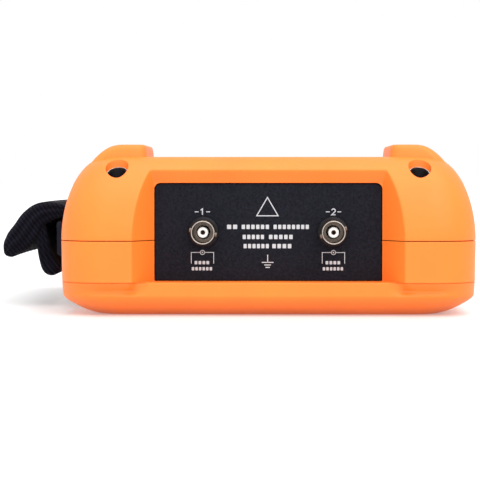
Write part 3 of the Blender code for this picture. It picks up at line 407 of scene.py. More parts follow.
def moulded(name, colour, roughness, grain=0.35, depth=0.02, tone=0.06, edge=0.3, specular=0.5):
    """Moulded plastic: fine grain, a slow drift of tone, uneven gloss and soft edges."""
    n = Nodes(name)
    drift = n.noise(18.0, 3.0)
    fine = n.noise(grain, 3.0, 0.6)
    colour_out = n.mixed(n.ranged(drift, 0.0, 1.0), shade(colour, 1 - tone), shade(colour, 1 + tone))
    uneven = n.ranged(n.noise(4.0, 4.0), roughness - 0.05, roughness + 0.05)
    normal = n.bump(fine, depth, n.soft_edges(edge))
    n.set(Specular_IOR_Level=specular)
    return n.set(Base_Color=colour_out, Roughness=uneven, Normal=normal)


def plated(name, colour, roughness, scratch=0.25):
    """Plated metal with fine turning marks."""
    n = Nodes(name)
    marks = n.noise(scratch, 3.0, 0.6, (1.0, 12.0, 1.0))
    tone = n.mixed(n.ranged(n.noise(2.0, 3.0), 0.0, 1.0), shade(colour, 0.82), shade(colour, 1.12))
    uneven = n.ranged(marks, roughness - 0.07, roughness + 0.1)
    normal = n.bump(marks, 0.006, n.soft_edges(0.12))
    return n.set(Metallic=1.0, Base_Color=tone, Roughness=uneven, Normal=normal)


def panel_material():
    """Blue-grey panel film with a fine leather-like grain."""
    n = Nodes("panel_film")
    coarse = n.noise(0.9, 4.0, 0.65)
    fine = n.noise(0.28, 2.0, 0.5)
    both = n.math("ADD", n.math("MULTIPLY", coarse, 0.6), n.math("MULTIPLY", fine, 0.4))
    share = n.ranged(both, 0.0, 1.0, 0.38, 0.62)
    colour = n.mixed(share, (0.0055, 0.0058, 0.0085), (0.0145, 0.0152, 0.022))
    normal = n.bump(both, 0.05, n.soft_edges(0.25))
    n.set(Specular_IOR_Level=0.06)
    return n.set(Base_Color=colour, Roughness=n.ranged(fine, 0.6, 0.8), Normal=normal)


def fabric_material(name, rib, dark, light):
    """Ribbed woven fabric: ribs along the strap, crossed by a finer thread."""
    n = Nodes(name)
    ribs = n.wave(rib, (0.0, math.radians(38), 0.0), 1.2)
    cross = n.wave(rib * 0.55, (0.0, 0.0, math.radians(90)), 0.8)
    fuzz = n.noise(0.25, 3.0, 0.6)
    weave = n.math("ADD", n.math("MULTIPLY", ribs, 0.8), n.math("MULTIPLY", cross, 0.2))
    both = n.math("ADD", n.math("MULTIPLY", weave, 0.8), n.math("MULTIPLY", fuzz, 0.2))
    patch = n.ranged(n.noise(7.0, 3.0), 0.5, 1.0)
    colour = n.mixed(n.math("MULTIPLY", both, patch), dark, light)
    n.set(Sheen_Weight=0.02, Sheen_Roughness=0.5, Specular_IOR_Level=0.05)
    return n.set(Base_Color=colour, Roughness=n.ranged(fuzz, 0.75, 0.95), Normal=n.bump(both, 0.35))


def webbing_material():
    """Tight nylon webbing: herringbone ribs and a little sheen."""
    n = Nodes("nylon_webbing")
    left = n.wave(1.1, (math.radians(45), 0.0, math.radians(90)))
    right = n.wave(1.1, (math.radians(-45), 0.0, math.radians(90)))
    both = n.math("MAXIMUM", left, right)
    colour = n.mixed(both, (0.002, 0.002, 0.004), (0.011, 0.011, 0.019))
    n.set(Sheen_Weight=0.01, Sheen_Roughness=0.4, Specular_IOR_Level=0.02)
    return n.set(Base_Color=colour, Roughness=n.ranged(both, 0.85, 0.98), Normal=n.bump(both, 0.15))


def print_material(name, colour):
    """Screen-printed ink, a little uneven in cover."""
    n = Nodes(name)
    cover = n.noise(0.2, 3.0)
    tone = n.mixed(n.ranged(cover, 0.0, 1.0), shade(colour, 0.88), colour)
    return n.set(Base_Color=tone, Roughness=n.ranged(cover, 0.45, 0.6), Normal=n.bump(cover, 0.008))


def glass_material():
    n = Nodes("window_glass")
    smear = n.noise(9.0, 3.0)
    n.set(Transmission_Weight=1.0, IOR=1.49, Base_Color=(0.9, 0.93, 0.94))
    return n.set(Roughness=n.ranged(smear, 0.02, 0.06))


def display_material():
    """Unlit liquid-crystal display: dark, with a faint graticule of pixels."""
    n = Nodes("display_layer")
    columns = n.wave(0.55)
    rows = n.wave(0.55, (0.0, 0.0, math.radians(90)))
    grid = n.math("MULTIPLY", columns, rows)
    colour = n.mixed(grid, (0.012, 0.016, 0.018), (0.028, 0.036, 0.04))
    return n.set(Base_Color=colour, Roughness=n.ranged(n.noise(3.0), 0.2, 0.32))


def board_material():
    """Green solder mask over fine tracks."""
    n = Nodes("solder_mask")
    tracks = n.wave(1.6, (0.0, 0.0, math.radians(45)), 6.0)
    colour = n.mixed(n.ranged(tracks, 0.0, 1.0, 0.45, 0.55), (0.008, 0.07, 0.03), (0.02, 0.14, 0.06))
    normal = n.bump(tracks, 0.03)
    return n.set(Base_Color=colour, Roughness=n.ranged(n.noise(2.0), 0.3, 0.45), Normal=normal)


ORANGE = (0.92, 0.203, 0.025)
M = {
    "case": moulded("orange_shell", ORANGE, 0.44, 0.5, 0.012, 0.03, edge=0.35, specular=0.3),
    "dark": moulded("dark_plastic", (0.02, 0.021, 0.026), 0.55, depth=0.03, specular=0.35),
    "rubber": moulded("dark_rubber", (0.022, 0.022, 0.025), 0.75, depth=0.03, specular=0.25),
    "key": moulded("key_rubber", (0.05, 0.053, 0.062), 0.62, depth=0.02, specular=0.3),
    "key_blue": moulded("key_blue", (0.03, 0.09, 0.26), 0.55, depth=0.02, specular=0.3),
    "key_red": moulded("key_red", (0.45, 0.03, 0.02), 0.5, depth=0.02, specular=0.3),
    # well: near-black, partly the dark inner case and partly painted shade deep in the screw wells
    "well": moulded("well_liner_and_painted_shade", (0.004, 0.004, 0.006), 0.5, specular=0.15),
    "panel": panel_material(),
    "metal": plated("nickel", (0.5, 0.48, 0.46), 0.34),
    # Connector nickel made dark and brownish: painted shade on the barrel and inside its bore
    "shaded_nickel": plated("connector_nickel_painted_shade", (0.17, 0.135, 0.112), 0.36),
    # collar: a black nut, made near-black as painted shade round the barrel's foot
    "collar": plated("collar_painted_shade", (0.022, 0.021, 0.023), 0.5),
    # rim: nickel whose brightness is a painted highlight, on the connectors' tips and the well sleeves'
    # edges
    "rim": plated("nickel_painted_highlight", (0.55, 0.51, 0.46), 0.28),
    "brass": plated("contact_brass", (0.5, 0.36, 0.16), 0.32),
    # Contact brass darkened as painted shade deep in the pin hole
    "shaded_brass": plated("brass_painted_shade", (0.09, 0.055, 0.035), 0.4),
    "white": moulded("insulator", (0.82, 0.8, 0.78), 0.4, grain=0.2, depth=0.01),
    "red": moulded("red_socket", (0.45, 0.02, 0.015), 0.35, depth=0.01),
    "board": board_material(),
    "battery": moulded("battery_film", (0.05, 0.05, 0.06), 0.35, depth=0.02),
    "fabric": fabric_material("strap_fabric", 1.5, (0.0015, 0.0015, 0.003), (0.012, 0.012, 0.021)),
    "webbing": webbing_material(),
    "thread": moulded("sewing_thread", (0.035, 0.035, 0.045), 0.6, grain=0.15, depth=0.03, specular=0.2),
    "print": print_material("white_ink", (0.5, 0.51, 0.53)),
    "glass": glass_material(),
    "display": display_material(),
}

CAD_LOOKS = {
    "dark_plastic": "dark",
    "dark_rubber": "rubber",
    "key_rubber": "key",
    "board": "board",
    "window": "glass",
    "white_plastic": "white",
    "brass": "brass",
    "red_plastic": "red",
    "battery": "battery",
    "metal": "metal",
    "case": "case",
    "strap_fabric": "fabric",
}


def dress_cad_nodes():
    for row in frame["record"]["subparts"]:
        node = NODES[row["node"]]
        node.data.materials.clear()
        node.data.materials.append(M[CAD_LOOKS[row["material_slot"]]])


# ---------------------------------------------------------------- the case's outside


def inset_at(curve, height):
    """How far the case's outside draws in at a height."""
    crease, ledge, dome, fullness = curve
    if height >= SEAM:
        rise = min(1.0, (height - SEAM) / (BACK - SEAM))
        return dome * (1 - math.sqrt(1 - rise * rise)) ** fullness
    if height >= LEDGE:
        return ledge * (SEAM - height) / (SEAM - LEDGE)
    if height >= CREASE:
        return crease + (ledge - crease) * (height - CREASE) / (LEDGE - CREASE)
    points = [(RIM_HEIGHT * h, crease + RIM_CHAMFER * w) for h, w in RIM_PROFILE]
    return monotone(points + [(CREASE, crease)], height)


def inner_inset_at(curve, height, samples=24):
    """The same for a surface one wall inside the outside."""
    found = 0.0
    for i in range(samples + 1):
        offset = WALL * (2 * i / samples - 1)
        other = min(max(height + offset, 0.0), BACK)
        reach = max(0.0, WALL * WALL - (other - height) ** 2)
        found = max(found, inset_at(curve, other) + math.sqrt(reach))
    return found


def corner_radius(height, inset=inset_at, shrink=0.0):
    return max(4.0, CORNER - 0.45 * inset(SIDE, height) - shrink)


def pocket_depth_at(height):
    """Y of the pocket's back. It leans out above the panel, as a brow."""
    return POCKET_DEPTH - BROW_LEAN * max(0.0, height - BROW_LOW)


def front_samples(edge, nose):
    """Places on X, from the middle out, that follow the pocket's corners as the nose draws in."""
    inner = POCKET_HALF
    outer = inner + POCKET_SLOPE * max(0.6, POCKET_DEPTH - nose)
    squeeze = min(1.0, (outer - inner) / 5.0)
    places = [inner * share for share in (0.0, 0.3, 0.6, 0.85)]
    places += [inner - step for step in (2.2, 1.4, 0.8, 0.4, 0.1)]
    places += [inner + step * squeeze for step in (0.2, 0.5, 0.9, 1.4, 2.0)]
    places += [outer - step * squeeze for step in (2.0, 1.4, 0.9, 0.5, 0.2)]
    places += [outer + step for step in (0.0, 0.2, 0.5, 0.9, 1.4, 2.0, 2.8)]
    places += [outer + 2.8 + (edge - outer - 2.8) * share for share in (0.25, 0.5, 0.75)]
    return np.array(places)


def pocket_line(x, height, nose):
    """Y of the front along X: the lobes, the pocket's cheeks and its back, with soft corners."""
    cheek = POCKET_DEPTH - (np.abs(x) - POCKET_HALF) / POCKET_SLOPE
    back = pocket_depth_at(height)
    return smooth_max(nose, smooth_min(cheek, back, 0.4), 0.45)


def lobe_scoop(x, height):
    """Depth of the hollow under each lobe, and of the fine groove along the lobe's lower edge."""
    if not CREASE < height < LEDGE:
        return 0.0 * x
    deepest = CREASE + 0.42 * (LEDGE - CREASE)
    rise = smooth_step(CREASE, deepest, height)
    fall = (LEDGE - height) / (LEDGE - deepest)
    reach = smooth_step(47.0, 54.0, np.abs(x)) * (1 - smooth_step(65.0, 76.0, np.abs(x)))
    groove = 0.3 * smooth_step(46.0, 50.0, np.abs(x)) if LEDGE - 0.3 < height else 0.0
    return SCOOP_UNDER_LOBE * min(rise, fall) * reach + groove


def lip_line(x, height):
    """Y of the front under the pocket: a band set back, and lobes that lean out over it."""
    top_round = 0.35
    share = min(1.0, max(0.0, (height - CREASE) / (LEDGE - CREASE)))
    band = NOSE[0]
    start = LEDGE - top_round
    if height > start:
        band += top_round - math.sqrt(max(0.0, top_round**2 - (height - start) ** 2))
    lobe = NOSE[0] * (1 - share)
    flare = 4.6 * (1 - share)
    weight = smooth_step(49.5 + flare, 53.0 + 1.6 * flare, np.abs(x))
    return band + (lobe - band) * weight + lobe_scoop(x, height)


def case_ring(height, front=None, shrink=0.0):
    """Outline of the case at a height. Front is None for a plain front, or gives Y along X."""
    side, nose, tail = (inset_at(curve, height) + shrink for curve in (SIDE, NOSE, TAIL))
    radius = corner_radius(height)
    half = HALF_WIDTH - side
    steps = 16
    low_y, high_y = nose, LENGTH - tail
    points = []
    for corner, (x, y) in enumerate((
        (half - radius, high_y - radius),
        (-half + radius, high_y - radius),
        (-half + radius, low_y + radius),
        (half - radius, low_y + radius),
    )):
        for step in range(steps + 1):
            turn = math.pi / 2 * (corner + step / steps)
            sunk = lobe_scoop(x + radius * math.cos(turn), height) if corner > 1 else 0.0
            reach = radius - sunk
            points.append((x + reach * math.cos(turn), y + reach * math.sin(turn)))
        if corner == 2:
            places = front_samples(half - radius, nose - shrink)
            across = np.concatenate([-places[:0:-1], places])
            line = np.full(len(across), low_y) if front is None else front(across)
            points += list(zip(across.tolist(), line.tolist()))
        if corner in (1, 3):
            x_side = -half if corner == 1 else half
            low, high = low_y + radius, high_y - radius
            shares = (0.1, 0.3, 0.5, 0.7, 0.9)
            ys = [low + (high - low) * share for share in shares]
            points += [(x_side, y) for y in (ys[::-1] if corner == 1 else ys)]
        if corner == 0:
            width = half - radius
            points += [(width * share, high_y) for share in (0.8, 0.4, 0.0, -0.4, -0.8)]
    return on_axis("Z", points, height)


def front_shell():
    """Outside of the half round the screen, from the table up to the seam."""
    rings = []
    rim = [0.0, 0.15, 0.4, 0.8, 1.3, 1.9, 2.6, 3.4, 4.2, 5.0, 5.7, 6.2, 6.6, 6.9, 7.2, 7.45, 7.7]
    band = [8.2, 8.6, 8.93, 9.3, 10.0, 11.0, 12.0, 12.5, 12.8, 12.84, 12.9, 13.0, 13.08, 13.14, LEDGE]
    for height in rim + band:
        front = (lambda x, h=height: lip_line(x, h)) if height > CREASE else None
        rings.append(case_ring(height, front))
    top = SEAM - GAP / 2
    for height, shrink in (
        (LEDGE, 0.0), (15.0, 0.0), (19.0, 0.0), (24.0, 0.0), (27.5, 0.0), (28.6, 0.0),
        (top - 0.22, 0.0), (top - 0.1, 0.03), (top - 0.03, 0.1), (top, 0.22),
    ):
        rings.append(case_ring(height, lambda x, h=height, s=shrink: pocket_line(x, h, s), shrink))
    mesh_data = bmesh.new()
    add_loft(mesh_data, rings)
    bmesh.ops.remove_doubles(mesh_data, verts=mesh_data.verts, dist=1e-4)
    return mesh_data


def rear_shell():
    """Outside of the back half, from the seam up to the flat of the back."""
    low = SEAM + GAP / 2
    starts = [(low, 0.16), (low + 0.03, 0.08), (low + 0.1, 0.02), (low + 0.22, 0.0)]
    rise = BACK - SEAM
    heights = {round(SEAM + rise * math.sin(math.pi / 2 * step / 44), 3) for step in range(2, 45)}
    heights |= {BROW_LOW, 55.6, 56.0, 56.3, 56.6, 56.85, 57.1, 57.35, 57.6, 57.9}
    rings = []
    for height, shrink in starts + [(h, 0.0) for h in sorted(heights)]:
        nose = inset_at(NOSE, height) + shrink
        rings.append(case_ring(height, lambda x, h=height, n=nose: pocket_line(x, h, n), shrink))
    mesh_data = bmesh.new()
    add_loft(mesh_data, rings)
    return mesh_data


# ---------------------------------------------------------------- cuts in the case


def boxes(*spans, radius=0.0, axis="X"):
    """Boxes as (low, high) corners, rounded across an axis."""
    mesh_data = bmesh.new()
    for low, high in spans:
        if axis == "X":
            outline = rounded(low[1], high[1], low[2], high[2], max(radius, 0.01), 6 if radius else 1)
            add_prism(mesh_data, "X", outline, low[0], high[0])
        else:
            outline = rounded(low[0], high[0], low[1], high[1], max(radius, 0.01), 6 if radius else 1)
            add_prism(mesh_data, "Z", outline, low[2], high[2])
    return mesh_data


def rods(axis, centres, radius, start, end, steps=48):
    mesh_data = bmesh.new()
    for u, v in centres:
        add_prism(mesh_data, axis, circle(u, v, radius, steps), start, end)
    return mesh_data


def strap_spans(margin):
    """The four strap recesses, grown by a wall if margin is set."""
    spans = []
    grip = 4.1 if margin else 0.0
    inner = HALF_WIDTH - 7.2 - margin
    for start, end in ((27.9, 55.9), (201.1, 229.1)):
        for near, far in ((inner, HALF_WIDTH + 5), (-HALF_WIDTH - 5, -inner)):
            spans.append(((near, start - margin, 21.0 - grip), (far, end + margin, 36.4 + grip)))
    return spans


def port_span(margin):
    inner = HALF_WIDTH - (6.0 if margin else 2.5)
    return (inner, 92.0 - margin, 12.0 - margin), (HALF_WIDTH + 5, 140.0 + margin, 27.4 + margin)


def seat_span(half, start, end, low, margin):
    return (-half - margin, start - margin, low - margin), (half + margin, end + margin, BACK + 9)


# Seats in the back: half width, start, end and floor
STAND_SEAT = (33.0, 60.2, 139.0, 57.9)
SCOOP = (11.0, 137.4, 145.6, 56.2)
COVER_SEAT = (42.8, 150.2, 236.8, 59.0)
BATTERY_BAY = (38.8, 157.9, 232.1, 36.1)
BUMPERS = ((21.5, 4.9), (LENGTH - 71.5, 2.0))  # start along the case, and rise


def cavity(heights, low, high):
    """Hollow of a case half, one wall inside, running past the seam."""
    rings = []
    for height in heights:
        inside = min(max(height, low), high)
        side, nose, tail = (inner_inset_at(curve, inside) for curve in (SIDE, NOSE, TAIL))
        half = HALF_WIDTH - side
        radius = corner_radius(inside, inner_inset_at, 0.8 * WALL)
        rings.append(on_axis("Z", rounded(-half, half, nose, LENGTH - tail, radius, 5), height))
    mesh_data = bmesh.new()
    add_loft(mesh_data, rings)
    return mesh_data


def pocket_plan(margin, back):
    half = POCKET_HALF + POCKET_SLOPE * (POCKET_DEPTH - back)
    half += margin * (math.hypot(1, POCKET_SLOPE) - POCKET_SLOPE)
    back += margin
    wide = half + POCKET_SLOPE * (back + 2)
    return [(-wide, -2.0), (wide, -2.0), (half, back), (-half, back)]


def panel_windows():
    """Windows for the input panel and the meter panel."""
    mesh_data = bmesh.new()
    half, grow = POCKET_HALF, GAP
    outline = rounded(-half, half, PANEL_LOW - grow, PANEL_HIGH + grow, 2.5, 8, 0.4)
    add_prism(mesh_data, "Y", outline, POCKET_DEPTH - 3.0, POCKET_DEPTH + WALL + 1)
    add_prism(mesh_data, "Y", rounded(-33, 33, 17.0, 41.4, 3.0), LENGTH - 9, LENGTH + 2)
    return mesh_data


def bar_holes():
    centres = [(x, y) for x in (-BAR_X, BAR_X) for y in (BAR_FRONT, BAR_BACK)]
    return rods("Z", centres, 1.8, 17.8, 39.6, 24)


def build_front_housing():
    hollow = raw_object("front_hollow", cavity((WALL, 4.6, 7.5, 11.5, 16.5, SEAM + 2), WALL, SEAM))
    posts = rods("Z", SCREWS.values(), 4.5, -1.0, SEAM + 5, 24)
    add_prism(posts, "Z", pocket_plan(WALL, POCKET_DEPTH), LEDGE - WALL, SEAM + 5)
    carve(hollow, cuts(boxes(*strap_spans(WALL), port_span(WALL)), posts))

    opening = bmesh.new()
    sunk = 0.9
    low_x, high_x, low_y, high_y, corner = SCREEN_OPENING
    edge = rounded(*SCREEN_OPENING, 12)
    wide = rounded(low_x - sunk, high_x + sunk, low_y - sunk, high_y + sunk, corner + sunk, 12)
    add_stack(opening, "Z", [(wide, -0.001), (edge, sunk), (edge, WALL + 0.5)])
    pilots = rods("Z", SCREWS.values(), 1.8, 7.7, SEAM + 1, 16)
    usb = boxes(((73.6, 97.7, 16.6), (HALF_WIDTH, 112.3, 24.2)), radius=0.8)
    shell = raw_object("case_front", front_shell())
    carve(shell, cuts(
        as_cutter(hollow),
        opening,
        panel_windows(),
        boxes(*strap_spans(0.0), port_span(0.0), radius=1.4),
        bar_holes(),
        pilots,
        usb,
        rods("X", [(127.0, 20.9)], 4.4, 73.6, HALF_WIDTH, 32),
    ))
    return settle(shell, M["case"], slot="case", replaces=["front_housing"])


def bumper(side, start, rise):
    """Raised corner pad with a rounded top that slopes down into the shoulder."""
    base = BACK + 0.18 * rise
    top = BACK + rise
    levels = ((BACK - 2.6, 1.2, 3.2, -0.6), (base, 1.6, 0.0, 0.0), (top - 0.31 * rise, 1.9, -3.3, 0.6),
              (top - 0.08 * rise, 2.3, -5.8, 1.3), (top, 3.2, -7.8, 2.3))
    count = 22
    rings = []
    for i in range(count + 1):
        share = i / count
        height = BACK - 2.6 + (rise + 2.6) * (share if share < 0.5 else 1 - 2 * (1 - share) ** 2)
        inner, outer, end = (
            monotone([(level[0], level[k]) for level in levels], height) for k in (1, 2, 3)
        )
        near, far = 46.6 + inner, 67.6 + outer
        low, high = (near, far) if side > 0 else (-far, -near)
        rings.append(on_axis("Z", rounded(low, high, start + end, start + 50 - end, 4.0, 8), height))
    mesh_data = bmesh.new()
    add_loft(mesh_data, rings)
    return mesh_data


def build_rear_housing():
    top = BACK - WALL
    low = SEAM + GAP / 2
    turns = [math.pi / 2 * step / 7 for step in (2, 4, 6)]
    heights = [SEAM - 2, low] + [SEAM + (top - SEAM) * math.sin(turn) for turn in turns] + [top]
    hollow = raw_object("rear_hollow", cavity(heights, low, top))
    brow = [on_axis("Z", pocket_plan(WALL, pocket_depth_at(h)), h) for h in (SEAM - 5, BROW_LOW, BACK + 4)]
    pocket = bmesh.new()
    add_loft(pocket, brow)
    bosses = rods("Z", SCREWS.values(), 6.6, SEAM - 5, BACK, 24)
    add_prism(bosses, "Z", circle(*COVER_SCREW, 4.0, 24), BACK - 13, BACK)
    cover_low, cover_high = seat_span(*COVER_SEAT, WALL)
    carve(hollow, cuts(
        boxes(*strap_spans(WALL)),
        bosses,
        pocket,
        boxes(seat_span(*STAND_SEAT, WALL)),
        boxes(seat_span(*SCOOP, WALL)),
        boxes((cover_low, (cover_high[0], cover_high[1] + 2.6, cover_high[2]))),
        boxes(seat_span(*BATTERY_BAY, WALL)),
    ))

    shell = raw_object("case_back", rear_shell())
    pads = [bumper(side, start, rise) for start, rise in BUMPERS for side in (-1, 1)]
    tabs = [((x - 5.8, 236.1, 59.4), (x + 5.8, 239.4, 61.1)) for x in (-24.0, 24.0)]
    carve(shell, [("UNION", pad) for pad in pads] + cuts(
        as_cutter(hollow),
        panel_windows(),
        boxes(*strap_spans(0.0), radius=1.4),
        bar_holes(),
        rods("Z", SCREWS.values(), WELL_RADIUS, WELL_FLOOR, BACK + 10, 64),
        rods("Z", SCREWS.values(), 2.1, SEAM - 1, WELL_FLOOR + 1, 16),
        boxes(seat_span(*STAND_SEAT, 0.0), radius=0.6, axis="Z"),
        boxes(seat_span(*SCOOP, 0.0), radius=3.0, axis="Z"),
        rods("X", [KICKSTAND_HINGE], 1.3, -38.4, 38.4, 16),
        boxes(seat_span(*COVER_SEAT, 0.0), radius=0.8, axis="Z"),
        boxes(seat_span(*BATTERY_BAY, 0.0), axis="Z"),
        boxes(*tabs),
        rods("Z", [COVER_SCREW], 1.8, BACK - 12, BACK, 16),
    ))
    return settle(shell, M["case"], slot="case", replaces=["rear_housing"])


def build_well_liners(case_back):
    """Near-black sleeves with a bright metal upper edge, one wall below the surface of each screw well. The
    sleeves stand for the dark inner case, darkened further as painted shade deep in the well; the bright
    edge is a painted highlight on that case's rim.
    """
    tree = BVHTree.FromObject(case_back, bpy.context.evaluated_depsgraph_get())
    steps = 48
    for name, (x, y) in SCREWS.items():
        turns = [2 * math.pi * i / steps for i in range(steps)]
        surface = []
        for turn in turns:
            spot = TO_ROW @ Vector((x + 4.7 * math.cos(turn), y + 4.7 * math.sin(turn), 100.0))
            hit = tree.ray_cast(spot, Vector((0, 0, -1)))[0]
            surface.append(min(hit.z / MM if hit else BACK, BACK))
        smooth = [sum(surface[(i + k) % steps] for k in (-2, -1, 0, 1, 2)) / 5 for i in range(steps)]

        def ring(radius, drop, flat=None):
            return [
                (x + radius * math.cos(t), y + radius * math.sin(t), (s - drop) if flat is None else flat)
                for t, s in zip(turns, smooth)
            ]

        sleeve = bmesh.new()
        floor = WELL_FLOOR + GAP
        add_loft(sleeve, [
            ring(LINER_RADIUS, 0, floor), ring(LINER_RADIUS, 3.3), ring(3.7, 3.5), ring(3.7, 0, floor),
        ], caps=False)
        low = [v for v in sleeve.verts if abs(v.co.z - floor) < 1e-4]
        for i in range(steps):
            j = (i + 1) % steps
            sleeve.faces.new((low[i], low[j], low[steps + j], low[steps + i]))
        # Near-black sleeve: the dark inner case, darkened further as painted shade
        make_piece(f"screw_sleeve_{name}", sleeve, M["well"], slot="dark_plastic")
        # Bright metal ring: a painted highlight on the inner case's upper edge
        edge = bmesh.new()
        profile = ((LINER_RADIUS, 3.22), (LINER_RADIUS, 2.95), (4.2, 2.9), (4.05, 3.0), (4.1, 3.22))
        loops = [ring(*point) for point in profile]
        add_loft(edge, loops + loops[:1], caps=False)
        bmesh.ops.remove_doubles(edge, verts=edge.verts, dist=1e-5)
        make_piece(f"screw_sleeve_edge_{name}", edge, M["rim"], slot="metal")


# ---------------------------------------------------------------- input panel and connectors


def stroke(points, width, closed=False):
    """Outline strip along a line, with mitred corners, as quads."""
    path = [Vector(p) for p in points]
    count = len(path)
    sides = []
    for i, here in enumerate(path):
        before = path[i - 1] if (i or closed) else None
        after = path[(i + 1) % count] if (i < count - 1 or closed) else None
        directions = []
        if before is not None:
            directions.append((here - before).normalized())
        if after is not None:
            directions.append((after - here).normalized())
        mean = sum(directions, Vector((0, 0))).normalized()
        normal = Vector((-mean.y, mean.x))
        half = width / 2 / max(0.3, mean.dot(directions[0]))
        sides.append((here + normal * half, here - normal * half))
    quads = []
    for i in range(count if closed else count - 1):
        (a, b), (c, d) = sides[i], sides[(i + 1) % count]
        quads.append((a, b, d, c))
    return quads


def add_print(mesh_data, polygons, surface, thickness=0.05):
    """Thin closed plates. Surface takes (u, v, height above the surface) to a point."""
    for polygon in polygons:
        low = [mesh_data.verts.new(surface(u, v, -0.01)) for u, v in polygon]
        high = [mesh_data.verts.new(surface(u, v, thickness)) for u, v in polygon]
        mesh_data.faces.new(low)
        mesh_data.faces.new(high)
        for i in range(len(low)):
            j = (i + 1) % len(low)
            mesh_data.faces.new((low[i], low[j], high[j], high[i]))


def on_panel(u, v, height):
    return (u, PANEL_FACE - height, v)


def dashes(x0, x1, z, height, pitch):
    """A row of printed dashes, in place of a word."""
    count = max(1, round((x1 - x0) / pitch))
    step = (x1 - x0) / count
    half, ink = height / 2, 0.7 * step
    return [rounded(x0 + k * step, x0 + k * step + ink, z - half, z + half, 0.2, 3) for k in range(count)]


def digit(number, x, z, height, width=0.42):
    """The numeral 1 or 2, drawn with strokes."""
    half, wide = height / 2, 0.3 * height
    if number == 1:
        line = [(x - wide, z + 0.42 * height - half * 0.3), (x, z + half), (x, z - half)]
        return stroke(line, width)
    top = z + half - wide
    arc = [(x + wide * math.cos(a), top + wide * math.sin(a)) for a in np.radians(range(165, -41, -15))]
    return stroke(arc + [(x - wide, z - half), (x + wide * 1.15, z - half)], width)


def arc_points(x, z, radius, steps=16):
    return [(x + radius * math.cos(2 * math.pi * i / steps), z + radius * math.sin(2 * math.pi * i / steps))
            for i in range(steps)]


def build_panel_print():
    mesh_data = bmesh.new()
    shapes = stroke([(-4.5, 38.8), (3.9, 38.8), (-0.3, 46.0)], 0.38, closed=True)
    for z, spans in (
        (34.45, ((-16.15, -11.45), (-10.4, 0.9), (2.1, 16.5))),
        (30.5, ((-10.0, -1.1), (0.3, 10.2))),
        (26.9, ((-9.65, 0.8), (1.6, 9.7))),
    ):
        for x0, x1 in spans:
            shapes += dashes(x0, x1, z, 1.7, 1.9)
    shapes += stroke([(-0.2, 23.5), (-0.2, 20.5)], 0.36)
    for z, half in ((20.5, 2.3), (19.5, 1.3), (18.55, 0.85)):
        shapes += stroke([(-0.2 - half, z), (-0.2 + half, z)], 0.36)
    for number, middle in ((1, -25.8), (2, 25.6)):
        shapes += digit(number, middle, 40.35, 2.3)
        shapes += stroke([(middle - 3.0, 40.35), (middle - 1.5, 40.35)], 0.36)
        shapes += stroke([(middle + 1.5, 40.35), (middle + 3.0, 40.35)], 0.36)
        left, right, top, low = middle - 4.4, middle + 4.4, 24.4, 20.05
        shapes += stroke([(left, low), (left, top), (middle - 0.95, top)], 0.26)
        shapes += stroke([(middle + 0.95, top), (right, top), (right, low)], 0.26)
        shapes += stroke(arc_points(middle, top, 0.85), 0.26, closed=True)
        shapes += [arc_points(middle, top, 0.3, 10)]
        shapes += dashes(middle - 3.1, middle + 3.1, 20.4, 1.3, 1.5)
        shapes += dashes(middle - 4.2, middle + 4.2, 18.0, 1.3, 1.5)
    add_print(mesh_data, shapes, on_panel)
    make_piece("panel_print", mesh_data, M["print"], slot="white_plastic")


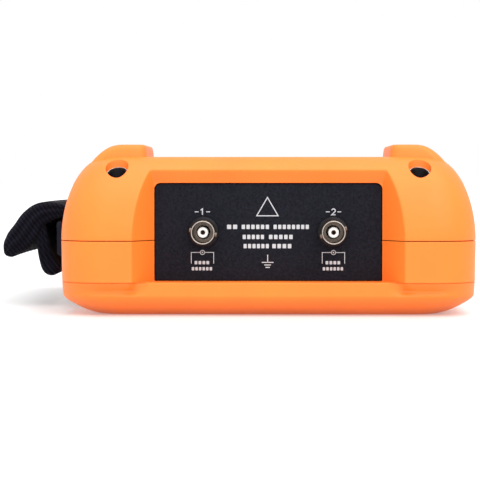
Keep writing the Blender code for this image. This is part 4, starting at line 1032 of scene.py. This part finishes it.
def build_connector(label, x, z, lug_angle):
    """Bayonet coaxial connector: nickel body with lugs, white insulator and centre contact."""
    centre = (x, z)
    tip = 2.1
    floor = tip + 8.6
    collar = PANEL_FACE - GAP
    rear = PANEL_FACE + 14.0
    core = 2.7
    body = bmesh.new()
    add_turned(body, centre, [
        (core, floor), (4.0, floor), (4.0, tip + 0.35), (4.08, tip + 0.12), (4.25, tip), (4.45, tip),
        (4.62, tip + 0.12), (4.7, tip + 0.35), (4.7, tip + 5.2), (4.62, tip + 5.35), (4.62, tip + 5.9),
        (4.7, tip + 6.05), (4.7, collar), (5.2, collar), (5.2, rear), (core, rear),
    ])
    shell = raw_object(f"connector_{label}", body)
    reach = 5.45
    turn = Matrix.Translation((x, 0, z)) @ Matrix.Rotation(math.radians(lug_angle), 4, "Y")
    lugs = bmesh.new()
    for side in (-1, 1):
        ends = [(0.95, 3.9), (0.95, reach - 0.25), (0.88, reach - 0.08), (0.72, reach)]
        add_stack(lugs, "X", [(circle(tip + 3.4, 0.0, r, 24), side * d) for r, d in ends])
    lugs.transform(turn)
    carve(shell, [("UNION", lugs)] + cuts(rods("Y", [centre], 3.98, tip - 1, floor, 64)))
    # Dark brownish nickel: painted shade on the barrel and in its bore
    settle(shell, M["shaded_nickel"], slot="metal", replaces=[f"connector_{label}_body"])

    # Black nut at the panel; its near-black tone is partly painted shade round the barrel
    ring = bmesh.new()
    add_turned(ring, centre, [
        (4.75, collar - 2.2), (5.5, collar - 2.0), (5.9, collar - 1.7), (6.0, collar - 1.3),
        (6.0, collar - 0.02), (4.75, collar - 0.02),
    ])
    make_piece(f"connector_{label}_collar", ring, M["collar"], slot="metal")

    # Bright ring over the barrel's tip: a painted highlight on the tip's edge
    rim = bmesh.new()
    add_turned(rim, centre, [(4.26, tip - 0.02), (4.46, tip - 0.02), (4.46, tip + 0.2), (4.26, tip + 0.2)])
    make_piece(f"connector_{label}_rim", rim, M["rim"], slot="metal")

    insulator = bmesh.new()
    add_turned(insulator, centre, [
        (0.92, tip + 2.35), (1.05, tip + 2.2), (1.85, tip + 2.2), (2.04, tip + 2.3), (2.1, tip + 2.5),
        (2.1, rear + 1), (0.92, rear + 1),
    ])
    make_piece(f"insulator_{label}", insulator, M["white"], slot="white_plastic",
               replaces=[f"connector_{label}_insulator"])

    # Darkened brass: painted shade inside the centre pin's hole
    contact = bmesh.new()
    add_turned(contact, centre, [
        (0.62, tip + 2.8), (0.68, tip + 2.7), (0.84, tip + 2.7), (0.89, tip + 2.8), (0.89, rear + 3),
        (0.0, rear + 3), (0.0, tip + 8), (0.62, tip + 8),
    ], 32)
    make_piece(f"contact_{label}", contact, M["shaded_brass"], slot="brass",
               replaces=[f"connector_{label}_contact"])


def build_input_end():
    NODES["input_panel"].data.materials[0] = M["panel"]
    build_panel_print()
    for label, (x, z, lug_angle) in CONNECTORS.items():
        build_connector(label, x, z, lug_angle)


# ---------------------------------------------------------------- hand strap


def sweep_band(path, start, end, bow, ribs, wave):
    """Thick padded band. Path gives (out, up, half thickness) along its section, start and end are
    its edges along the case. The edges are round and ribbed along the path."""
    count = len(path)
    fine = [i + step / 8 for i in range(count - 1) for step in range(8)] + [count - 1]

    def spline(k, t):
        i = min(int(t), count - 2)
        u = t - i
        p = [path[max(0, min(count - 1, i + d))][k] for d in (-1, 0, 1, 2)]
        return 0.5 * (2 * p[1] + (p[2] - p[0]) * u + (2 * p[0] - 5 * p[1] + 4 * p[2] - p[3]) * u * u
                      + (3 * p[1] - p[0] - 3 * p[2] + p[3]) * u ** 3)

    line = [(spline(0, t), spline(1, t), spline(2, t)) for t in fine]
    rings = []
    total = len(line)
    for i, (out, up, half) in enumerate(line):
        before, after = line[max(0, i - 1)], line[min(total - 1, i + 1)]
        along = Vector((after[0] - before[0], after[1] - before[1])).normalized()
        normal = Vector((-along.y, along.x))
        ring = []
        edge_steps, length_steps = 20, 34
        for side, y_edge, direction in ((0, start, -1), (1, end, 1)):
            for step in range(edge_steps + 1):
                turn = math.pi * step / edge_steps
                across = math.cos(turn) * (1 if side == 0 else -1)
                rib = 1 + ribs * math.cos(across * 9.0 + 0.4)
                deep = half * 0.62 * math.sin(turn) ** 0.8 * rib
                ring.append((across, y_edge - direction * (half * 0.62) + direction * deep))
            low, high = (start + half * 0.62, end - half * 0.62)
            ys = [low + (high - low) * (k + 1) / (length_steps + 1) for k in range(length_steps)]
            ring += [(-1.0, y) for y in ys] if side == 0 else [(1.0, y) for y in ys[::-1]]
        points = []
        least = math.sin(math.pi * (start - BAR_FRONT) / BAR_SPAN)
        for across, y in ring:
            share = min(max((y - BAR_FRONT) / BAR_SPAN, 0.0), 1.0)
            lift = bow * (math.sin(math.pi * share) - least) / (1 - least)
            ripple = wave * math.sin(y * 0.55 + i * 0.23) * math.sin(i * 0.11 + 0.6)
            reach = half * across + ripple * (1 if across > 0 else -1)
            shift = normal * reach
            points.append((-HALF_WIDTH - (out + shift.x) - lift, y, up + shift.y))
        rings.append(points)
    first, last = rings[0], rings[-1]
    for tip, ring in ((0, first), (-1, last)):
        centre = sum((Vector(p) for p in ring), Vector()) / len(ring)
        direction = Vector(ring[0]) - Vector(rings[2 if tip == 0 else -3][0])
        direction.y = 0
        direction.normalize()
        half = line[tip][2]
        caps = []
        for share in (0.35, 0.65, 0.88, 0.97):
            pull = math.sqrt(1 - share * share)
            caps.append([
                (
                    centre.x + (p[0] - centre.x) * pull + direction.x * half * share,
                    centre.y + (p[1] - centre.y) * (1 - 0.02 * share * share),
                    centre.z + (p[2] - centre.z) * pull + direction.z * half * share,
                )
                for p in ring
            ])
        rings = caps[::-1] + rings if tip == 0 else rings + caps
    mesh_data = bmesh.new()
    add_loft(mesh_data, rings)
    return mesh_data


LOOP = 2.55
WEBBING_BULGE, WEBBING_FULLNESS, WEBBING_WIDTH, WEBBING_LOW = 11.5, 0.27, 14.0, 21.7
PAD_PATH = (
    (4.6, 39.9, 2.8), (8.1, 40.0, 3.6), (11.7, 39.4, 4.4), (14.9, 37.9, 4.9), (17.5, 35.3, 5.2),
    (19.6, 32.1, 5.5), (22.0, 28.9, 5.6), (24.5, 26.6, 5.0), (26.3, 25.2, 4.0),
)
FLAP_PATH = (
    (13.5, 34.5, 1.9), (13.4, 30.5, 2.2), (12.9, 26.0, 2.5), (11.9, 21.4, 3.0), (10.4, 17.6, 3.5),
    (9.3, 15.9, 3.6),
)


def webbing_line():
    """Plan of the webbing, from one bar round to the other: (x, y, half thickness)."""
    turns = [math.radians(-30 * step) for step in range(1, 7)]
    loop = [(BAR_X - LOOP * math.cos(turn), BAR_FRONT + LOOP * math.sin(turn), 0.75) for turn in turns]
    line = []
    for step in range(61):
        share = 0.5 - 0.5 * math.cos(math.pi * (0.045 + 0.91 * step / 60))
        bulge = WEBBING_BULGE * math.sin(math.pi * share) ** WEBBING_FULLNESS
        line.append((BAR_X + bulge, BAR_FRONT + BAR_SPAN * share, 1.2))
    mirrored = [(x, BAR_FRONT + BAR_BACK - y, half) for x, y, half in loop[::-1]]
    return loop + line + mirrored


def build_webbing():
    """Woven strap, looped round both bars, with thicker woven edges."""
    line = webbing_line()
    across = 26
    rings = []
    for i, (out, y, half) in enumerate(line):
        before, after = line[max(0, i - 1)], line[min(len(line) - 1, i + 1)]
        along = Vector((after[0] - before[0], after[1] - before[1])).normalized()
        normal = Vector((along.y, -along.x))
        ring = []
        for side in (1, -1):
            for step in range(across + 1):
                share = step / across if side > 0 else 1 - step / across
                edge = min(share, 1 - share) * WEBBING_WIDTH
                thick = half * min(1.0, math.sqrt(max(0.02, edge / 0.8)))
                thick -= 0.16 * (0.5 - 0.5 * math.cos(2 * math.pi * share * 11)) if edge > 1.2 else 0.0
                spot = Vector((out, y)) + normal * (side * thick)
                ring.append((-spot.x, spot.y, WEBBING_LOW + WEBBING_WIDTH * share))
        rings.append(ring)
    mesh_data = bmesh.new()
    add_loft(mesh_data, rings)
    make_piece("strap_webbing", mesh_data, M["webbing"], slot="strap_fabric",
               replaces=["hand_strap"], angle=50)


def build_strap():
    build_webbing()
    pad = raw_object("strap_padding", sweep_band(PAD_PATH, 60.0, 197.0, 1.8, 0.16, 0.12))
    settle(pad, M["fabric"], slot="strap_fabric", replaces=["strap_pad"], angle=60)
    build_stitching(pad)
    flap = raw_object("strap_flap", sweep_band(FLAP_PATH, 62.0, 195.0, 1.8, 0.2, 0.1))
    settle(flap, M["fabric"], slot="strap_fabric", angle=60)


def add_stitch(mesh_data, place):
    """A small ellipsoid, its rings in a fixed order so that each run gives the same mesh."""
    rings = []
    for step in range(7):
        turn = math.pi * (step + 0.5) / 7
        outline = circle(0.0, 0.0, math.sin(turn), 8)
        rings.append([place @ Vector(point) for point in on_axis("Z", outline, math.cos(turn))])
    add_loft(mesh_data, rings)


def build_stitching(pad):
    """Two rows of stitches, laid on the padding along the case."""
    tree = BVHTree.FromObject(pad, bpy.context.evaluated_depsgraph_get())
    mesh_data = bmesh.new()
    count = 38
    for k in range(count):
        y = 67.0 + 123.0 * k / (count - 1)
        for spot, towards in (
            ((-HALF_WIDTH - 9.0, y, 60.0), (0, 0, -1)), ((-HALF_WIDTH - 45.0, y, 30.5), (1, 0, 0)),
        ):
            hit, normal = tree.ray_cast(TO_ROW @ Vector(spot), Vector(towards))[:2]
            if hit is None:
                continue
            centre = TO_ROW.inverted() @ hit
            frame_of_stitch = normal.to_track_quat("Z", "Y").to_matrix().to_4x4()
            place = Matrix.Translation(centre) @ frame_of_stitch @ Matrix.Diagonal((0.32, 1.05, 0.26, 1))
            add_stitch(mesh_data, place)
    make_piece("strap_stitching", mesh_data, M["thread"], slot="strap_fabric", angle=80)


# ---------------------------------------------------------------- the other sides


SOFT_EDGES = {
    "kickstand": 0.6, "battery_cover": 0.5, "port_cover": 0.4, "face_plate": 0.3, "meter_panel": 0.4,
    "input_panel": 0.12, "battery_cover_screw": 0.2,
}


def smooth_by_angle(angle):
    """Modifier group that shades smooth, with edges sharper than the angle kept sharp."""
    group = bpy.data.node_groups.new("smooth_by_angle", "GeometryNodeTree")
    group.interface.new_socket("Geometry", in_out="INPUT", socket_type="NodeSocketGeometry")
    group.interface.new_socket("Geometry", in_out="OUTPUT", socket_type="NodeSocketGeometry")
    start, end = group.nodes.new("NodeGroupInput"), group.nodes.new("NodeGroupOutput")
    edge = group.nodes.new("GeometryNodeInputMeshEdgeAngle")
    compare = group.nodes.new("FunctionNodeCompare")
    compare.data_type, compare.operation = "FLOAT", "LESS_THAN"
    compare.inputs[1].default_value = math.radians(angle)
    edges, faces = (group.nodes.new("GeometryNodeSetShadeSmooth") for _ in range(2))
    edges.domain, faces.domain = "EDGE", "FACE"
    group.links.new(edge.outputs["Unsigned Angle"], compare.inputs[0])
    group.links.new(compare.outputs["Result"], edges.inputs["Shade Smooth"])
    group.links.new(start.outputs[0], edges.inputs["Geometry"])
    group.links.new(edges.outputs["Geometry"], faces.inputs["Geometry"])
    group.links.new(faces.outputs["Geometry"], end.inputs[0])
    return group


def soften_edges():
    """Rounds the hard edges of the CAD pieces that stay."""
    smooth = smooth_by_angle(32)
    widths = dict(SOFT_EDGES)
    widths.update({node: 0.5 for node in NODES if node.endswith("_key") or node.startswith("soft_key")})
    for node, width in widths.items():
        modifier = NODES[node].modifiers.new("soft_edges", "BEVEL")
        modifier.width = width * MM
        modifier.segments = 3
        modifier.limit_method = "ANGLE"
        modifier.angle_limit = math.radians(40)
        NODES[node].modifiers.new("smooth", "NODES").node_group = smooth


def add_rib(mesh_data, axis, low, high, base, height, radius=0.6):
    """Raised rib with round corners and a narrower crest. Low and high are its corners on the face."""
    def outline(inset):
        return rounded(low[0] + inset, high[0] - inset, low[1] + inset, high[1] - inset, radius, 4)
    steps = [(0.0, -0.2), (0.0, 0.55), (0.08, 0.85), (0.25, 1.0)]
    add_stack(mesh_data, axis, [
        (outline(inset), base + (height * share if share > 0 else math.copysign(0.2, -height)))
        for inset, share in steps
    ])


def build_kickstand_ribs():
    mesh_data = bmesh.new()
    for k in range(6):
        y = 84.0 + 6.0 * k
        add_rib(mesh_data, "Z", (-22.0, y), (22.0, y + 2.0), KICKSTAND_FACE, 0.45)
    for x in (-28.5, 27.0):
        add_rib(mesh_data, "Z", (x, 70.0), (x + 1.5, 132.0), KICKSTAND_FACE, 0.45)
    make_piece("kickstand_ribs", mesh_data, M["dark"], body="kickstand", slot="dark_plastic")


def build_battery_cover_grip():
    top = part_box("battery_cover")[1].z / MM
    mesh_data = bmesh.new()
    for k in range(7):
        y = 204.0 + 3.2 * k
        half = 18.0 - 1.6 * abs(k - 3)
        add_rib(mesh_data, "Z", (-half, y), (half, y + 1.4), top, 0.4)
    arrow = [(-4.5, 196.0), (4.5, 196.0), (0.0, 189.5)]
    add_stack(mesh_data, "Z", [(arrow, top - 0.2), (arrow, top + 0.35)])
    for x in (-37.0, 35.6):
        add_rib(mesh_data, "Z", (x, 158.0), (x + 1.4, 230.0), top, 0.4)
    make_piece("battery_cover_grip", mesh_data, M["dark"], slot="dark_plastic")


def build_port_cover_ribs():
    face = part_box("port_cover")[1].x / MM - ORIGIN.x / MM
    mesh_data = bmesh.new()
    for k in range(3):
        add_rib(mesh_data, "X", (108.0, 15.4 + 1.9 * k), (124.0, 16.4 + 1.9 * k), face, 0.24, 0.45)
    make_piece("port_cover_ribs", mesh_data, M["rubber"], body="port_cover", slot="dark_rubber")


def build_meter_end():
    """Brass sleeves in the test sockets, coloured collars and a printed ring for each."""
    NODES["meter_socket_common"].data.materials[0] = M["dark"]
    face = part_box("meter_panel")[1].y / MM - ORIGIN.y / MM
    rings = bmesh.new()
    marks = []
    for name, x in (("current", -SOCKET_SPACING), ("common", 0.0), ("voltage", SOCKET_SPACING)):
        sleeve = bmesh.new()
        add_turned(sleeve, (x, SOCKET_HEIGHT), [
            (1.55, 248.0), (1.98, 248.0), (1.98, 256.6), (1.8, 256.9), (1.6, 256.8), (1.55, 256.5),
        ], 32)
        make_piece(f"meter_contact_{name}", sleeve, M["brass"], slot="brass")
        marks += stroke(arc_points(x, SOCKET_HEIGHT, 8.2, 40), 0.3, closed=True)
    for x in (-9.5, 9.5):
        marks += stroke([(x - 0.9, 38.0), (x + 0.9, 38.0)], 0.32)
    marks += stroke([(19.0 - 2.4, 38.4), (19.0 + 2.4, 38.4)], 0.32) + dashes(16.6, 21.4, 39.5, 0.3, 1.6)
    wave = [(-19 + 0.5 * k, 38.9 + 0.6 * math.sin(k * 0.9)) for k in range(-5, 6)]
    marks += stroke(wave, 0.3)
    marks += stroke([(0.0, 20.9), (0.0, 19.6)], 0.3)
    for z, half in ((19.6, 1.5), (19.0, 0.95), (18.45, 0.45)):
        marks += stroke([(-half, z), (half, z)], 0.26)
    add_print(rings, marks, lambda u, v, height: (u, face + height, v))
    make_piece("meter_panel_print", rings, M["print"], slot="white_plastic")


def ring_arc(radius, start, end, steps=20):
    turns = [math.radians(start + (end - start) * k / steps) for k in range(steps + 1)]
    return [(radius * math.cos(turn), radius * math.sin(turn)) for turn in turns]


def key_signs():
    """Generic signs, in millimetres about the middle of each key: polygons of ink."""
    arrow = [(-2.2, -1.2), (2.2, -1.2), (0.0, 1.8)]

    def turned(points, quarter):
        turn = Matrix.Rotation(math.radians(90 * quarter), 2)
        return [tuple(turn @ Vector(point)) for point in points]

    sine = [(0.5 * k, 2.0 * math.sin(k * math.pi / 7)) for k in range(-7, 8)]
    return {
        "up_key": [arrow],
        "down_key": [turned(arrow, 2)],
        "left_key": [turned(arrow, 1)],
        "right_key": [turned(arrow, 3)],
        "enter_key": stroke(ring_arc(3.2, 0, 345), 0.5, closed=True),
        "scope_key": stroke(sine, 0.5),
        "meter_key": stroke(ring_arc(3.2, 20, 160), 0.5) + stroke([(0.0, 0.2), (1.5, 2.2)], 0.45),
        "recorder_key": stroke([(-3, -2), (-1, 0.6), (0.6, -0.6), (3, 2)], 0.5),
        "channel_key": stroke([(-3.5, 1), (3.5, 1)], 0.5) + stroke([(-3.5, -1.2), (3.5, -1.2)], 0.5),
        "trigger_key": stroke([(-3, -1.8), (0, -1.8), (0, 1.8), (3, 1.8)], 0.5),
        "time_key": stroke([(-3.6, 0), (3.6, 0)], 0.5) + stroke([(-3.6, -1.2), (-3.6, 1.2)], 0.5)
        + stroke([(3.6, -1.2), (3.6, 1.2)], 0.5),
        "power_key": stroke(ring_arc(3.0, -240, 60), 0.6) + stroke([(0, 0.8), (0, 3.6)], 0.6),
        "auto_key": stroke(ring_arc(2.6, 40, 320), 0.5) + [[(1.2, -2.6), (3.0, -2.6), (2.1, -0.8)]],
        "run_key": [[(-3.0, -2.0), (-3.0, 2.0), (0.2, 0.0)], [(1.2, -2), (2.0, -2), (2.0, 2), (1.2, 2)],
                    [(2.8, -2), (3.6, -2), (3.6, 2), (2.8, 2)]],
    }


def build_key_signs():
    for node, shapes in key_signs().items():
        low, high = (TO_ROW.inverted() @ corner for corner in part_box(node))
        middle = (low + high) / 2
        mesh_data = bmesh.new()
        add_print(mesh_data, shapes, lambda u, v, h, c=middle, z=low.z: (c.x + u, c.y - v, z - h))
        make_piece(f"{node}_sign", mesh_data, M["print"], body=node, slot="white_plastic")
    NODES["power_key"].data.materials[0] = M["key_red"]
    NODES["run_key"].data.materials[0] = M["key_blue"]
    NODES["auto_key"].data.materials[0] = M["key_blue"]


def build_face_print():
    """Printed frame round the screen, and a tick over each soft key."""
    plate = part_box("face_plate")[0].z / MM
    shapes = stroke(rounded(-60.6, 60.6, 28.4, 119.6, 2.5, 6), 0.4, closed=True)
    for x in (-45.0, -15.0, 15.0, 45.0):
        shapes += stroke([(x - 3.0, 121.6), (x + 3.0, 121.6)], 0.5)
    for x in (-46.0, 46.0):
        for y in (161.0, 181.0):
            shapes += stroke([(x - 6.0, y), (x + 6.0, y)], 0.3)
    mesh_data = bmesh.new()
    add_print(mesh_data, shapes, lambda u, v, height: (u, v, plate - height))
    make_piece("face_print", mesh_data, M["print"], slot="white_plastic")
    NODES["display_module"].data.materials[0] = M["display"]


def build_other_sides():
    soften_edges()
    build_kickstand_ribs()
    build_battery_cover_grip()
    build_port_cover_ribs()
    build_meter_end()
    build_key_signs()
    build_face_print()


# ---------------------------------------------------------------- stage


def build_stage():
    """Pale, faintly lit table without an end, and soft light from the front, above and the right."""
    floor_look = Nodes("studio_floor")
    tone = floor_look.mixed(
        floor_look.ranged(floor_look.noise(400.0), 0.0, 1.0), (0.6, 0.6, 0.6), (0.63, 0.63, 0.63)
    )
    floor_look.set(Specular_IOR_Level=0.25, Emission_Strength=0.24, Emission_Color=(1.0, 1.0, 1.0))
    floor_look.set(Base_Color=tone, Roughness=0.32)
    mesh_data = bmesh.new()
    bmesh.ops.create_grid(mesh_data, x_segments=1, y_segments=1, size=30.0)
    mesh = bpy.data.meshes.new("floor")
    mesh_data.to_mesh(mesh)
    mesh_data.free()
    mesh.materials.append(floor_look.material)
    floor = linked("floor", mesh)

    world = bpy.data.worlds.new("studio")
    world.use_nodes = True
    background = world.node_tree.nodes["Background"]
    background.inputs["Color"].default_value = (1.0, 1.0, 1.0, 1.0)
    background.inputs["Strength"].default_value = 1.0
    bpy.context.scene.world = world

    for name, towards, strength, spread in (
        ("key", (0.55, -0.8, 0.65), 0.9, 50.0),
        ("top", (0.1, -0.25, 1.0), 2.1, 70.0),
        ("front", (-0.2, -1.0, 0.28), 0.35, 40.0),
        ("left", (-0.9, -0.35, 0.6), 0.35, 60.0),
    ):
        data = bpy.data.lights.new(name, "SUN")
        data.energy = strength
        data.angle = math.radians(spread)
        linked(name, data).rotation_euler = (-Vector(towards)).to_track_quat("-Z", "Y").to_euler()


def build_camera():
    data = bpy.data.cameras.new("camera")
    data.lens = LENS
    data.clip_start, data.clip_end = 0.01, 50.0
    camera = linked("camera", data)
    camera.location = TO_ROW @ Vector(EYE)
    camera.rotation_euler = Vector(AIM).to_track_quat("-Z", "Y").to_euler()
    bpy.context.scene.camera = camera
    bpy.context.scene.view_settings.view_transform = "Standard"


dress_cad_nodes()
build_front_housing()
CASE_BACK = build_rear_housing()
build_well_liners(CASE_BACK)
build_input_end()
build_strap()
build_other_sides()
build_stage()
build_camera()
